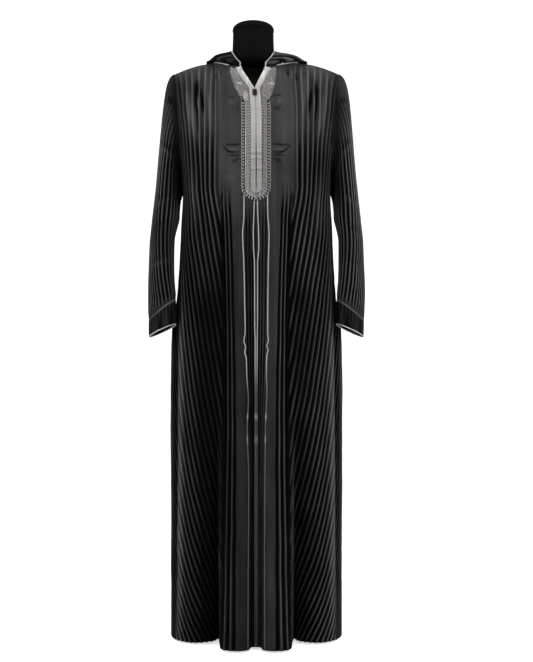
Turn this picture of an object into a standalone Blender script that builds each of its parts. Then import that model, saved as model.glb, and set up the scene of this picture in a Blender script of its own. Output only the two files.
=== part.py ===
"""A hooded, finely pleated black abaya standing on a limbless dress form.

The tables below are in millimetres, +X to the viewer's right, the front at -Y and +Z up,
with the floor at zero. Every piece is worked out on the right side (+X) and mirrored.
The cloth is inextensible across: a pleat keeps its distance s from the centre line, and
the deep hem folds draw in the cloth, which is why the side pleats slant towards them.
"""
import math
from collections import namedtuple

import bmesh
import bpy
import numpy as np

MM = 0.001
CLOTH = 1.6
SEAM_GAP = 0.3
HEM_HEIGHT = 5.0
UNDERARM = 1128.0
YOKE_SPAN = 300.0
YOKE_TOP = UNDERARM + YOKE_SPAN
PLEAT_DEPTH = 2.2
COLUMN_PITCH = 7.0
SHOULDER_PITCH = 6.93
FOLD_STEPS = 14
GORE_LOWEST = 29.0
GORE_CLEARANCE = 18.0
CORD_RADIUS = 1.5
BAND_THICKNESS = 0.8
BAND_HALF_WIDTH = 14.0
BAND_FOOT = 1108.8
V_FOOT = 1380.0
V_ARM_DROP = 30.6
LACE_FOOT = 1092.4
LACE_TUCK = 1.6
NECK_SHIFT = -9.0
DEPTH_SHIFT = -12.5

Section = namedtuple("Section", "height half_width front_y back_y side_y power")
BODY_SECTIONS = (
    Section(5, 216, -150, 172, 34, 2.2),
    Section(330, 218, -151, 162, 30, 2.2),
    Section(640, 219, -149, 150, 26, 2.1),
    Section(768, 217, -146, 143, 24, 2.0),
    Section(880, 202, -142, 134, 20, 2.1),
    Section(1000, 195, -137, 126, 16, 2.2),
    Section(1128, 191, -130, 120, 14, 2.3),
)

# One row for each fold line, from the centre front to the side, or from the centre back.
# across is its share of the half width where the folds have died out, at the rise height.
Fold = namedtuple("Fold", "name across hem_x hem_y rise")
FRONT_FOLDS = (
    Fold("centre valley", 0.0, 0, -119, 700),
    Fold("valley floor", 0.045, 10, -121, 700),
    Fold("column inner shoulder", 0.10, 19, -152, 700),
    Fold("column face", 0.23, 50, -163, 640),
    Fold("column outer shoulder", 0.375, 82, -146, 640),
    Fold("column wall", 0.41, 86, -90, 620),
    Fold("deep valley", 0.44, 95, -26, 620),
    Fold("lobe inner wall", 0.50, 106, -54, 620),
    Fold("lobe face", 0.70, 152, -73, 640),
    Fold("lobe shoulder", 0.91, 197, -40, 640),
)
SIDE_FOLD = Fold("side seam", 1.0, 216, 50, 640)
BACK_FOLDS = (
    Fold("centre back lobe", 0.0, 0, 188, 900),
    Fold("centre lobe shoulder", 0.17, 36, 178, 900),
    Fold("inner back valley", 0.29, 60, 132, 860),
    Fold("back lobe inner wall", 0.40, 84, 164, 860),
    Fold("back lobe face", 0.53, 116, 178, 820),
    Fold("back lobe shoulder", 0.66, 144, 158, 820),
    Fold("outer back valley", 0.76, 162, 112, 760),
    Fold("side lobe", 0.90, 194, 118, 700),
)

# The upper edges: s along the pleated cloth, the place in space, and the angle in degrees
# through which the cloth has leaned back by the time that it gets there.
Edge = namedtuple("Edge", "s x y z turn")
V_EDGE = (Edge(0, 0, -103, V_FOOT, 60), Edge(16, 16, -94.5, 1411.5, 60), Edge(32, 32, -80, 1443, 60))
FRONT_NECKLINE = (
    Edge(32, 32, -80, 1443, 60),
    Edge(50, 50, -71, 1449, 60),
    Edge(80, 80, -48, 1461, 66),
    Edge(102, 100, -20, 1472, 74),
    Edge(118, 112, 5, 1477, 82),
)
SHOULDER_SEAM = (
    Edge(118, 112, 5, 1477, 82),
    Edge(150, 145, 6, 1472, 82),
    Edge(185, 182, 6, 1461, 82),
    Edge(215, 212, 5, 1448, 82),
)
BACK_NECKLINE = (
    Edge(0, 0, 100, 1482, 25),
    Edge(60, 58, 90, 1481, 35),
    Edge(98, 94, 56, 1479, 60),
    Edge(118, 112, 5, 1477, 82),
)
# In the two armhole tables s is a share of the way from the shoulder point to the underarm.
FRONT_ARMHOLE = (
    Edge(0, 212, 5, 1448, 82),
    Edge(0.14, 209, -27, 1420, 70),
    Edge(0.35, 203, -46, 1361, 55),
    Edge(0.58, 197, -40, 1278, 40),
    Edge(0.80, 193, -18, 1196, 28),
    Edge(0.93, 191.5, 2, 1150, 18),
    Edge(1, 191, 14, 1128, 10),
)
BACK_ARMHOLE = (
    Edge(0, 212, 5, 1448, 82),
    Edge(0.18, 210, 38, 1414, 70),
    Edge(0.42, 203, 58, 1341, 55),
    Edge(0.62, 197, 54, 1257, 40),
    Edge(0.82, 192.5, 34, 1180, 25),
    Edge(1, 191, 14, 1128, 10),
)
LEVELS = (HEM_HEIGHT, 41.0, 170.0, 330.0, 480.0, 640.0, 880.0, UNDERARM)
# The shares of the yoke at which a column has a row, by how far it rises there.
YokeRow = namedtuple("YokeRow", "least_rise shares")
YOKE_ROWS = (
    YokeRow(250, (0.27, 0.54, 0.78, 0.93, 1.0)),
    YokeRow(150, (0.4, 0.75, 1.0)),
    YokeRow(80, (0.55, 1.0)),
    YokeRow(0, (1.0,)),
)

Ring = namedtuple("Ring", "height slant centre_x centre_y across depth tilt")
SLEEVE_RINGS = (
    Ring(761, 30, 235.5, -58, 31, 54, 24),
    Ring(800, 52, 237, -54, 31, 56, 22),
    Ring(895, 22, 241.5, -38, 31, 61, 15),
    Ring(990, 8, 242, -18, 30.5, 68, 9),
    Ring(1066, 0, 233.5, -4, 34, 76, 4),
)
ARMHOLE_SPLITS = {False: 2, True: 4}
ARMHOLE_GAP = 0.8
SLEEVE_ROWS = (0.1, 0.3, 0.6)
CUFF_THICKNESS = 2.0
CUFF_SIDES = 28

# The hood, one row for each station from the V's corner round to the centre back: its seam
# on the neckline, the layer that lies on the robe, the fold, the outer layer and the edge.
Station = namedtuple("Station", "seam rise lining_side fold outer_side edge")
HOOD_STATIONS = (
    Station((34, -78.6, 1444.4), (34.6, -80.2, 1445.8), (35, -81.2, 1447.3), (35.1, -81.6, 1449),
            (34.8, -81.2, 1450.6), (34, -80.4, 1452)),
    Station((50, -70.6, 1450.4), (54, -75, 1451), (59, -78, 1452.4), (64, -78.5, 1455), (59, -75.5, 1461),
            (41, -68, 1463)),
    Station((80, -47.6, 1462.4), (85, -52.5, 1462.6), (91, -56.5, 1463.2), (98, -57, 1466), (82, -50, 1476),
            (48, -43, 1479)),
    Station((100, -19.8, 1473.4), (105, -24, 1473), (112, -28.5, 1472), (120, -28, 1473.5), (102, -21, 1490),
            (61, -12, 1502)),
    Station((112, 6, 1478.2), (117, 8, 1480.5), (124, 14, 1480.5), (132, 21, 1481), (111, 23, 1494),
            (68, 26, 1501)),
    Station((94, 56, 1480.2), (101, 62, 1484), (113, 76, 1457), (126, 104, 1397), (124, 114, 1449),
            (84, 78, 1490)),
    Station((58, 90.4, 1482.2), (61, 98, 1486), (70, 110, 1437), (86, 142, 1297), (88, 160, 1373),
            (58, 138, 1474)),
    Station((0, 100.4, 1483.2), (0, 107, 1486.5), (0, 121, 1423), (0, 150, 1219), (0, 180, 1323),
            (0, 168, 1460)),
)
HOOD_COLUMNS = 11
HOOD_ROWS = 10
HOOD_LIFT = np.array([0.0, 0.0, 0.1])

FormRing = namedtuple("FormRing", "height half_width front_y back_y")
TORSO_RINGS = (
    FormRing(760, 150, -92, 108),
    FormRing(860, 158, -102, 116),
    FormRing(960, 140, -92, 98),
    FormRing(1060, 122, -80, 84),
    FormRing(1150, 134, -92, 88),
    FormRing(1240, 160, -108, 92),
    FormRing(1320, 176, -94, 90),
    FormRing(1390, 188, -62, 64),
    FormRing(1423, 189, -36, 40),
    FormRing(1443, 187, -19, 27),
    FormRing(1458.2, 180, -9, 19),
    FormRing(1462.4, 145, -17, 24),
    FormRing(1466, 110, -26, 34),
    FormRing(1471, 84, -36, 46),
    FormRing(1483, 64, -44, 54),
    FormRing(1504, 55, -46, 54),
    FormRing(1530, 53.5, -46, 53),
    FormRing(1558, 53, -46, 52),
)
CAP_RINGS = (
    FormRing(1558.3, 53.5, -46.5, 52.5),
    FormRing(1567, 52.8, -45.8, 51.8),
    FormRing(1573.5, 49.5, -42.5, 48.5),
    FormRing(1578, 42, -35, 41),
    FormRing(1582.5, 28, -21, 27),
    FormRing(1585, 12, -6, 12),
)
POLE_RADIUS = 15.0
BASE_HEIGHT = 18.0
BASE_HUB_RADIUS = 46.0
LEG_HALF_WIDTH = 13.0
LEG_ENDS = ((50, -136), (112, 146))

# How far the band's and the lace's rows stand off the panel, from the foot up.
BAND_LIFTS = (0.45,) * 5 + (0.9,) * 5
LACE_LIFTS = (0.6,) * 8 + (1.1,) * 5
LACE_THICKNESSES = (0.9, 1.0, 1.6, 2.0)
# Its outer side at the panel's rows, and beside the V the s of a row's inner end and the s and
# height of its outer end.
LACE_SIDES = (36.5, 36.5, 34.0, 47.0)
LACE_FLARE = ((15, 52, 1410), (23, 55, 1422), (33, 57, 1431), (43, 57, 1438))
SLIDER_HEIGHT = 1371.0
SLIDER_SIZE = (11.0, 10.0, 2.2)
LUG_SIZE = (1.6, 3.4, 4.2)
LUG_OFFSET = 3.7
PIN_LIFT = 3.1
PIN_RADIUS = 0.8
PULL_HOLE = 1.35
PULL_EYE = 2.4
PULL_BARREL_HALF = 2.4
PULL_NECK = 2.2
PULL_START = 1.7
PULL_CENTRE = 9.2
PULL_DISC = 6.0
PULL_THICKNESS = 1.4
PULL_TILT = 17.0


def passing_through(places, values):
    """A smooth curve through the values that never overshoots between two of them."""
    places = np.asarray(places, float)
    values = np.asarray(values, float)
    gaps = np.diff(places)
    slopes = np.diff(values, axis=0) / gaps.reshape((-1,) + (1,) * (values.ndim - 1))
    tangents = np.zeros_like(values)
    before, after = slopes[:-1], slopes[1:]
    agree = before * after > 0
    total = np.where(agree, before + after, 1.0)
    tangents[1:-1] = np.where(agree, 2 * before * after / total, 0.0)
    tangents[0], tangents[-1] = slopes[0], slopes[-1]

    def value(place):
        place = min(max(place, places[0]), places[-1])
        i = min(int(np.searchsorted(places, place, side="right")) - 1, len(gaps) - 1)
        t = (place - places[i]) / gaps[i]
        rise = values[i] * (2 * t**3 - 3 * t**2 + 1) + values[i + 1] * (3 * t**2 - 2 * t**3)
        return rise + gaps[i] * (tangents[i] * (t**3 - 2 * t**2 + t) + tangents[i + 1] * (t**3 - t**2))

    return value


def catmull_rom(points, steps):
    """Points along a smooth line through the given ones; the ends are mirrored in x."""
    first = points[1] * np.array([-1, 1])
    last = points[-2] * np.array([-1, 1])
    chain = np.vstack([first, points, last])
    line = [points[0]]
    for p0, p1, p2, p3 in zip(chain[:-3], chain[1:-2], chain[2:-1], chain[3:]):
        knots = [0.0]
        for a, b in ((p0, p1), (p1, p2), (p2, p3)):
            knots.append(knots[-1] + math.sqrt(max(float(np.linalg.norm(b - a)), 1e-6)))
        t0, t1, t2, t3 = knots
        for step in range(1, steps + 1):
            t = t1 + (t2 - t1) * step / steps
            a1 = (t1 - t) / (t1 - t0) * p0 + (t - t0) / (t1 - t0) * p1
            a2 = (t2 - t) / (t2 - t1) * p1 + (t - t1) / (t2 - t1) * p2
            a3 = (t3 - t) / (t3 - t2) * p2 + (t - t2) / (t3 - t2) * p3
            b1 = (t2 - t) / (t2 - t0) * a1 + (t - t0) / (t2 - t0) * a2
            b2 = (t3 - t) / (t3 - t1) * a2 + (t - t1) / (t3 - t1) * a3
            line.append((t2 - t) / (t2 - t1) * b1 + (t - t1) / (t2 - t1) * b2)
    return np.array(line)


def ease(value):
    value = min(max(value, 0.0), 1.0)
    return value * value * (3 - 2 * value)


section_at = passing_through([row.height for row in BODY_SECTIONS], [row[1:] for row in BODY_SECTIONS])
SECTIONS_MADE = {}


def half_section(height):
    """The robe's right half at one height: lengths, points and the side seam's length."""
    key = round(height, 4)
    if key in SECTIONS_MADE:
        return SECTIONS_MADE[key]
    half_width, front_y, back_y, side_y, power = section_at(height)
    guides = []
    for fold in FRONT_FOLDS + (SIDE_FOLD,) + BACK_FOLDS[::-1]:
        far_y = back_y if fold in BACK_FOLDS else front_y
        plain_x = half_width * fold.across
        plain_y = side_y + (far_y - side_y) * (1 - fold.across**power) ** (1 / power)
        drawn_in = max(0.0, 1 - (height - HEM_HEIGHT) / fold.rise) ** 1.15
        guides.append((plain_x + (fold.hem_x - plain_x) * drawn_in,
                       plain_y + (fold.hem_y - plain_y) * drawn_in))
    line = catmull_rom(np.array(guides), FOLD_STEPS)
    lengths = np.concatenate([[0.0], np.cumsum(np.linalg.norm(np.diff(line, axis=0), axis=1))])
    made = (lengths, line, lengths[len(FRONT_FOLDS) * FOLD_STEPS])
    SECTIONS_MADE[key] = made
    return made


def section_point(s, height, back):
    lengths, line, side = half_section(height)
    place = lengths[-1] - s if back else s
    sign = 1.0
    if place < 0:
        place, sign = -place, -1.0
    if place > lengths[-1]:
        place, sign = 2 * lengths[-1] - place, -1.0
    across = sign * np.interp(place, lengths, line[:, 0])
    return np.array([across, np.interp(place, lengths, line[:, 1]), height])


def side_length(height, back):
    lengths, line, side = half_section(height)
    return lengths[-1] - side if back else side


def edge_curve(rows, start=None, span=None):
    places = [row.s if start is None else start + row.s * span for row in rows]
    return places[0], places[-1], passing_through(places, [row[1:] for row in rows])


def upper_edges(back):
    arm_start = SHOULDER_SEAM[-1].s
    arm_span = side_length(UNDERARM, back) - arm_start
    if back:
        return (edge_curve(BACK_NECKLINE), edge_curve(SHOULDER_SEAM),
                edge_curve(BACK_ARMHOLE, arm_start, arm_span))
    return (edge_curve(V_EDGE), edge_curve(FRONT_NECKLINE), edge_curve(SHOULDER_SEAM),
            edge_curve(FRONT_ARMHOLE, arm_start, arm_span))


UPPER_EDGES = {back: upper_edges(back) for back in (False, True)}


def top_of(s, back):
    for start, end, curve in UPPER_EDGES[back]:
        if s <= end + 1e-9:
            return curve(s)
    return curve(end)


def cloth_point(s, h, back):
    """The smooth cloth: h is the height up to the underarm, then a share of the yoke."""
    if h <= UNDERARM:
        return section_point(s, h, back)
    share = (h - UNDERARM) / YOKE_SPAN
    foot = section_point(s, UNDERARM, back)
    x, y, z, turn = top_of(s, back)
    full = math.radians(turn)
    angle = full * share
    across = foot[0] + (x - foot[0]) * share**1.25
    depth = foot[1] + (y - foot[1]) * (1 - math.cos(angle)) / (1 - math.cos(full))
    return np.array([across, depth, UNDERARM + (z - UNDERARM) * math.sin(angle) / math.sin(full)])


def cloth_normal(s, h, back):
    step = 2.0
    along = cloth_point(s + step, h, back) - cloth_point(s - step, h, back)
    up_step = 3.0
    low = max(h - up_step, HEM_HEIGHT)
    high = min(h + up_step, YOKE_TOP)
    up = cloth_point(s, high, back) - cloth_point(s, low, back)
    normal = np.cross(along, up) if not back else np.cross(up, along)
    if s <= SEAM_GAP:
        normal[0] = 0.0
    normal /= np.linalg.norm(normal)
    if h > UNDERARM and s > SHOULDER_SEAM[-1].s:
        # By the underarm the fold lines run nearly along the armhole, so the wall faces as it does below.
        foot = section_point(s + step, UNDERARM, back) - section_point(s - step, UNDERARM, back)
        level = np.array([foot[1], -foot[0], 0.0]) * (-1 if back else 1)
        share = ease((top_of(s, back)[2] - UNDERARM - 60) / 140)
        normal = normal * share + level / np.linalg.norm(level) * (1 - share)
        normal /= np.linalg.norm(normal)
    return normal


def height_share(s, z, back):
    """The h whose point lies at height z on the line s."""
    if z <= UNDERARM:
        return z
    low, high = UNDERARM, YOKE_TOP
    for _ in range(30):
        middle = (low + high) / 2
        if cloth_point(s, middle, back)[2] < z:
            low = middle
        else:
            high = middle
    return (low + high) / 2


def pleat_strength(s, h, back):
    """How deep the pleats are: flat at seams and in the bib, full in the skirt."""
    z = h if h <= UNDERARM else cloth_point(s, h, back)[2]
    strength = 1.0
    if not back:
        if s < 63:
            strength = 0.5 * ease((s - 1) / 3) if s < 32 else 0.0
            strength *= 1 - ease((z - 1040) / 60)
        bib = 1 - ease((s - 88) / 22)
        strength *= 1 - bib * ease((z - 1060) / 90)
    near_side = ease((s - side_length(UNDERARM, back) + 45) / 25)
    strength *= 1 - near_side * ease((z - 1040) / 70)
    if h > UNDERARM:
        top = top_of(s, back)
        strength *= ease((YOKE_TOP - h) / 90)
        if top[2] < UNDERARM + 60:
            strength = 0.0
    return strength


def even_columns(start, end, pitch=COLUMN_PITCH):
    count = max(1, round((end - start) / pitch))
    return [start + (end - start) * i / count for i in range(1, count + 1)]


def panel_columns(back):
    """The s of every fold line that reaches the yoke."""
    shoulder_start, shoulder_end = SHOULDER_SEAM[0].s, SHOULDER_SEAM[-1].s
    underarm = side_length(UNDERARM, back)
    if back:
        lines = [0.0] + even_columns(0.0, shoulder_start)
    else:
        lines = [SEAM_GAP / 2, 4.0, 9.0, 14.0, 18.5, 23.0, 27.5, 32.0, 42.0, 52.0, 62.0]
        lines += even_columns(62.0, shoulder_start)
    lines += even_columns(shoulder_start, shoulder_end, SHOULDER_PITCH)
    return lines + even_columns(shoulder_end, underarm)


def gore_heights():
    """Where the front's side pleats run into the side seam, from the underarm down."""
    heights = []
    s = side_length(UNDERARM, False)
    limit = side_length(GORE_LOWEST, False)
    count = round((limit - s) / COLUMN_PITCH)
    for i in range(1, count + 1):
        wanted = s + (limit - s) * i / count
        low, high = GORE_LOWEST, UNDERARM
        for _ in range(40):
            middle = (low + high) / 2
            if side_length(middle, False) > wanted:
                low = middle
            else:
                high = middle
        heights.append((low + high) / 2)
    return heights


def wall_pair(s, h, back, ridge, shift=(0.0, 0.0, 0.0), normal=None):
    """The outer and inner point of the wall, raised or sunk by the pleat."""
    if normal is None:
        normal = cloth_normal(s, h, back)
    outer = cloth_point(s, h, back) + normal * ridge * PLEAT_DEPTH * pleat_strength(s, h, back)
    outer = outer + np.array(shift)
    return outer, outer - normal * CLOTH


def panel(back):
    """Columns of (key, outer, inner) from hem to top, from the centre line to the side."""
    columns = []
    lines = panel_columns(back)
    last_main = len(lines) - 1
    shoulder_start, shoulder_end = SHOULDER_SEAM[0].s, SHOULDER_SEAM[-1].s
    seam_y = SEAM_GAP / 2 if back else -SEAM_GAP / 2
    for i, s in enumerate(lines):
        ridge = 1 if i % 2 else -1
        column = [(level, *wall_pair(s, level, back, ridge)) for level in LEVELS[:-1]]
        if i == last_main:
            side = side_length(UNDERARM, back) - SEAM_GAP / 2
            column.append((UNDERARM, *wall_pair(side, UNDERARM, back, 0)))
            columns.append(column)
            break
        column.append((UNDERARM, *wall_pair(s, UNDERARM, back, ridge)))
        rise = top_of(s, back)[2] - UNDERARM
        for share in next(shares for least, shares in YOKE_ROWS if rise >= least):
            h = UNDERARM + YOKE_SPAN * share
            shift, normal = (0.0, 0.0, 0.0), None
            if share == 1.0 and shoulder_start <= s <= shoulder_end + 1e-6:
                shift = (0.0, seam_y, 0.0)
                normal = cloth_normal(s, h, back) * np.array([1, 0, 1])
                normal /= np.linalg.norm(normal)
            column.append((h, *wall_pair(s, h, back, ridge, shift, normal)))
        columns.append(column)
    for k, height in enumerate(gore_heights()):
        ridge = 1 if (last_main + 1 + k) % 2 else -1
        s = side_length(height, back)
        column = [(level, *wall_pair(s, level, back, ridge)) for level in LEVELS
                  if level < height - GORE_CLEARANCE]
        column.append((height, *wall_pair(s - SEAM_GAP / 2, height, back, 0)))
        columns.append(column)
    return columns


def mirrored(point):
    return np.array([-point[0], point[1], point[2]])


def mirror_columns(columns):
    return [[(key, mirrored(outer), mirrored(inner)) for key, outer, inner in column] for column in columns]


def leaned(point):
    """The neck stands a little to the left, and all is moved to centre the robe's depth."""
    x, y, z = point
    share = ease((z - 1300) / 160) * (1 - ease((abs(x) - 60) / 70))
    return (x + NECK_SHIFT * share, y + DEPTH_SHIFT, z)


def material(name, colour, roughness, metallic=0.0):
    made = bpy.data.materials.new(name)
    made.use_nodes = True
    shader = made.node_tree.nodes["Principled BSDF"]
    shader.inputs["Base Color"].default_value = (*colour, 1.0)
    shader.inputs["Roughness"].default_value = roughness
    shader.inputs["Metallic"].default_value = metallic
    return made


def add_object(name, points, faces, finish, origin=(0.0, 0.0, 0.0)):
    """Make a closed mesh from millimetre points and turn its faces outwards."""
    mesh = bpy.data.meshes.new(name)
    places = np.array([leaned(point) for point in points]) - np.array(origin)
    mesh.from_pydata([tuple(place * MM) for place in places], [], faces)
    work = bmesh.new()
    work.from_mesh(mesh)
    bmesh.ops.triangulate(work, faces=[face for face in work.faces if len(face.verts) > 3])
    bmesh.ops.recalc_face_normals(work, faces=work.faces)
    if work.calc_volume(signed=True) < 0:
        bmesh.ops.reverse_faces(work, faces=work.faces)
    work.to_mesh(mesh)
    work.free()
    mesh.materials.append(finish)
    made = bpy.data.objects.new(name, mesh)
    made.location = tuple(value * MM for value in origin)
    bpy.context.scene.collection.objects.link(made)
    return made


def wall(name, columns, finish, closed=False):
    """A cloth wall between neighbouring columns, which may differ in their rows."""
    points, faces, outer_at, inner_at = [], [], [], []
    for column in columns:
        outer_at.append(list(range(len(points), len(points) + len(column))))
        points += [outer for key, outer, inner in column]
        inner_at.append(list(range(len(points), len(points) + len(column))))
        points += [inner for key, outer, inner in column]
    pairs = [(i, i + 1) for i in range(len(columns) - 1)]
    if closed:
        pairs.append((len(columns) - 1, 0))
    for a, b in pairs:
        i = j = 0
        keys_a = [row[0] for row in columns[a]]
        keys_b = [row[0] for row in columns[b]]
        while i < len(keys_a) - 1 or j < len(keys_b) - 1:
            next_a = keys_a[i + 1] if i < len(keys_a) - 1 else math.inf
            next_b = keys_b[j + 1] if j < len(keys_b) - 1 else math.inf
            step_a = next_a <= next_b + 1e-6
            step_b = next_b <= next_a + 1e-6
            for at, turn in ((outer_at, 1), (inner_at, -1)):
                if step_a and step_b:
                    face = [at[a][i], at[b][j], at[b][j + 1], at[a][i + 1]]
                elif step_a:
                    face = [at[a][i], at[b][j], at[a][i + 1]]
                else:
                    face = [at[a][i], at[b][j], at[b][j + 1]]
                if len(face) == 4:
                    pieces = [face[:3], [face[0], face[2], face[3]]]
                else:
                    pieces = [face]
                faces += [piece[::turn] for piece in pieces]
            i += step_a
            j += step_b
        faces.append([outer_at[a][0], inner_at[a][0], inner_at[b][0], outer_at[b][0]])
        faces.append([outer_at[a][-1], outer_at[b][-1], inner_at[b][-1], inner_at[a][-1]])
    if not closed:
        for end in (0, -1):
            outers, inners = outer_at[end], inner_at[end]
            for row in range(len(outers) - 1):
                face = [outers[row], outers[row + 1], inners[row + 1], inners[row]]
                faces.append(face if end == 0 else face[::-1])
    return add_object(name, points, faces, finish)


def tube(name, path, finish, radius=CORD_RADIUS, sides=6, closed=False):
    """A cord along its path, with flat ends."""
    path = [np.asarray(point, float) for point in path]
    count = len(path)
    points, faces = [], []
    reference = np.array([0.0, -1.0, 0.2])
    for i, centre in enumerate(path):
        before = path[i - 1] if closed or i else path[i]
        after = path[(i + 1) % count] if closed or i < count - 1 else path[i]
        ahead = (after - before) / np.linalg.norm(after - before)
        side = np.cross(ahead, reference)
        side /= np.linalg.norm(side)
        over = np.cross(side, ahead)
        for k in range(sides):
            angle = 2 * math.pi * k / sides
            points.append(centre + radius * (side * math.cos(angle) + over * math.sin(angle)))
    for i in range(count if closed else count - 1):
        for k in range(sides):
            a, b = i * sides + k, i * sides + (k + 1) % sides
            c, d = (i + 1) % count * sides + (k + 1) % sides, (i + 1) % count * sides + k
            faces.append([a, b, c, d])
    if not closed:
        faces.append(list(range(sides))[::-1])
        faces.append(list(range((count - 1) * sides, count * sides)))
    return add_object(name, points, faces, finish)


def grid_normals(grid, closed):
    """Outward normals of a grid of points, columns by rows, seen with the rows rising."""
    grid = np.array(grid)
    across = np.roll(grid, -1, axis=0) - np.roll(grid, 1, axis=0)
    if not closed:
        across[0], across[-1] = grid[1] - grid[0], grid[-1] - grid[-2]
    up = np.gradient(grid, axis=1)
    normals = np.cross(across, up)
    return normals / np.linalg.norm(normals, axis=2, keepdims=True)


def oval_point(ring, fraction, back):
    """A point on a sleeve ring, from its outer side (0) round to the body's side (1)."""
    steps = np.linspace(0, math.pi, 181)
    plain = np.stack([ring.across * np.cos(steps), ring.depth * np.sin(steps)], axis=1)
    lengths = np.concatenate([[0.0], np.cumsum(np.linalg.norm(np.diff(plain, axis=0), axis=1))])
    place = fraction * lengths[-1]
    x = np.interp(place, lengths, plain[:, 0])
    y = np.interp(place, lengths, plain[:, 1]) * (1 if back else -1)
    turn = math.radians(ring.tilt)
    return np.array([ring.centre_x + x * math.cos(turn) + y * math.sin(turn),
                     ring.centre_y - x * math.sin(turn) + y * math.cos(turn)])


def ring_height(ring, x):
    """A ring slants: it is at its named height on the outside and higher by the body."""
    turn = math.radians(ring.tilt)
    reach = math.hypot(ring.across * math.cos(turn), ring.depth * math.sin(turn))
    return ring.height + ring.slant * (ring.centre_x + reach - x) / (2 * reach)


def armhole_points(columns, back):
    """The armhole's outer corners and normals, split finely, from shoulder to underarm."""
    first = next(i for i, s in enumerate(panel_columns(back)) if s >= SHOULDER_SEAM[-1].s - 1e-6)
    last = len(panel_columns(back)) - 1
    tops = [columns[i][-1] for i in range(first, last + 1)]
    outers = [top[1] for top in tops]
    normals = [(top[1] - top[2]) / CLOTH for top in tops]
    made = []
    splits = ARMHOLE_SPLITS[back]
    for i in range(len(tops) - 1):
        for step in range(splits):
            share = step / splits
            made.append((outers[i] * (1 - share) + outers[i + 1] * share,
                         normals[i] * (1 - share) + normals[i + 1] * share))
    made.append((outers[-1], normals[-1]))
    return made


def sleeve_columns(front, rear):
    """Columns round the sleeve: down the front from the shoulder, then up behind."""
    lofts = []
    for back, columns in ((False, front), (True, rear)):
        points = armhole_points(columns, back)
        count = len(points) - 1
        along = np.gradient(np.array([place for place, normal in points]), axis=0)
        part = []
        for i, (place, normal) in enumerate(points):
            away = np.cross(normal, along[i]) * (-1 if back else 1)
            away *= ARMHOLE_GAP / np.linalg.norm(away)
            away[0] += 1.2 * (i / count)**4
            part.append((place + away, normal, i / count, back))
        lofts += part if not back else part[-2:0:-1]
    grid, tops = [], []
    rings = SLEEVE_RINGS[1:]
    for start, normal, fraction, back in lofts:
        column = []
        for ring in rings:
            x, y = oval_point(ring, fraction, back)
            column.append(np.array([x, y, ring_height(ring, x)]))
        foot = column[-1]
        drop = start[2] - foot[2]
        sideways = (0.06 if back else -0.06) * math.sin(math.pi * fraction)
        leave = start + np.array([32 * (1 - fraction) + 7, 40 * sideways, -(8 + 12 * fraction)])
        arrive = foot + np.array([-0.125 * (1 - fraction), sideways, 1.0]) * drop * (0.65 - 0.32 * fraction)
        for share in SLEEVE_ROWS:
            t = 1 - share
            bend = 3 * t * share * (leave * t + arrive * share)
            column.append(start * t**3 + bend + foot * share**3)
        upper = column[len(rings):]
        column = column[:len(rings)] + upper[::-1] + [start]
        grid.append(column)
        inward = np.array(oval_point(rings[-1], min(fraction + 0.01, 1), back)) - \
            np.array(oval_point(rings[-1], max(fraction - 0.01, 0), back))
        around = np.array([inward[1], -inward[0], 0.0]) * (-1 if not back else 1)
        around /= np.linalg.norm(around)
        mixed = normal * (1 - fraction**2) + around * fraction**2
        tops.append(mixed / np.linalg.norm(mixed))
    grid = np.array(grid)[::-1]
    tops = tops[::-1]
    normals = grid_normals(grid, True)
    normals[:, -1] = tops
    strengths = [0.0, 0.8, 1.0, 1.0, 0.9, 0.6, 0.2, 0.0]
    columns = []
    for k, line in enumerate(grid):
        ridge = 1 if k % 2 else -1
        column = []
        for row, point in enumerate(line):
            outer = point + normals[k][row] * ridge * PLEAT_DEPTH * strengths[row]
            inner = outer - normals[k][row] * CLOTH
            if row == 0:
                outer[2] = ring_height(rings[0], outer[0]) + SEAM_GAP / 2
                inner[2] = ring_height(rings[0], inner[0]) + SEAM_GAP / 2
            column.append((row, outer, inner))
        columns.append(column)
    return columns


def ring_wall(ring, count, thickness, lift):
    """Outer and inner points of one cuff ring."""
    places = [(i / (count // 2), False) for i in range(count // 2 + 1)]
    places += [(i / (count // 2), True) for i in range(count // 2 - 1, 0, -1)]
    line = np.array([oval_point(ring, fraction, back) for fraction, back in places])[::-1]
    ahead = np.roll(line, -1, axis=0) - np.roll(line, 1, axis=0)
    normals = np.stack([ahead[:, 1], -ahead[:, 0]], axis=1)
    normals /= np.linalg.norm(normals, axis=1, keepdims=True)
    rows = []
    for (x, y), normal in zip(line, normals):
        inner_x, inner_y = np.array([x, y]) - normal * thickness
        rows.append((np.array([x, y, ring_height(ring, x) + lift]),
                     np.array([inner_x, inner_y, ring_height(ring, inner_x) + lift])))
    return rows


def cuff_columns():
    edge = ring_wall(SLEEVE_RINGS[0], CUFF_SIDES, CUFF_THICKNESS, 0.0)
    seam = ring_wall(SLEEVE_RINGS[1], CUFF_SIDES, CUFF_THICKNESS, -SEAM_GAP / 2)
    return [[(0, *low), (1, *high)] for low, high in zip(edge, seam)]


def cuff_cord_path():
    rows = ring_wall(SLEEVE_RINGS[0], CUFF_SIDES, CUFF_THICKNESS, -SEAM_GAP - CORD_RADIUS - 0.2)
    return [(outer + inner) / 2 for outer, inner in rows]


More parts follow.
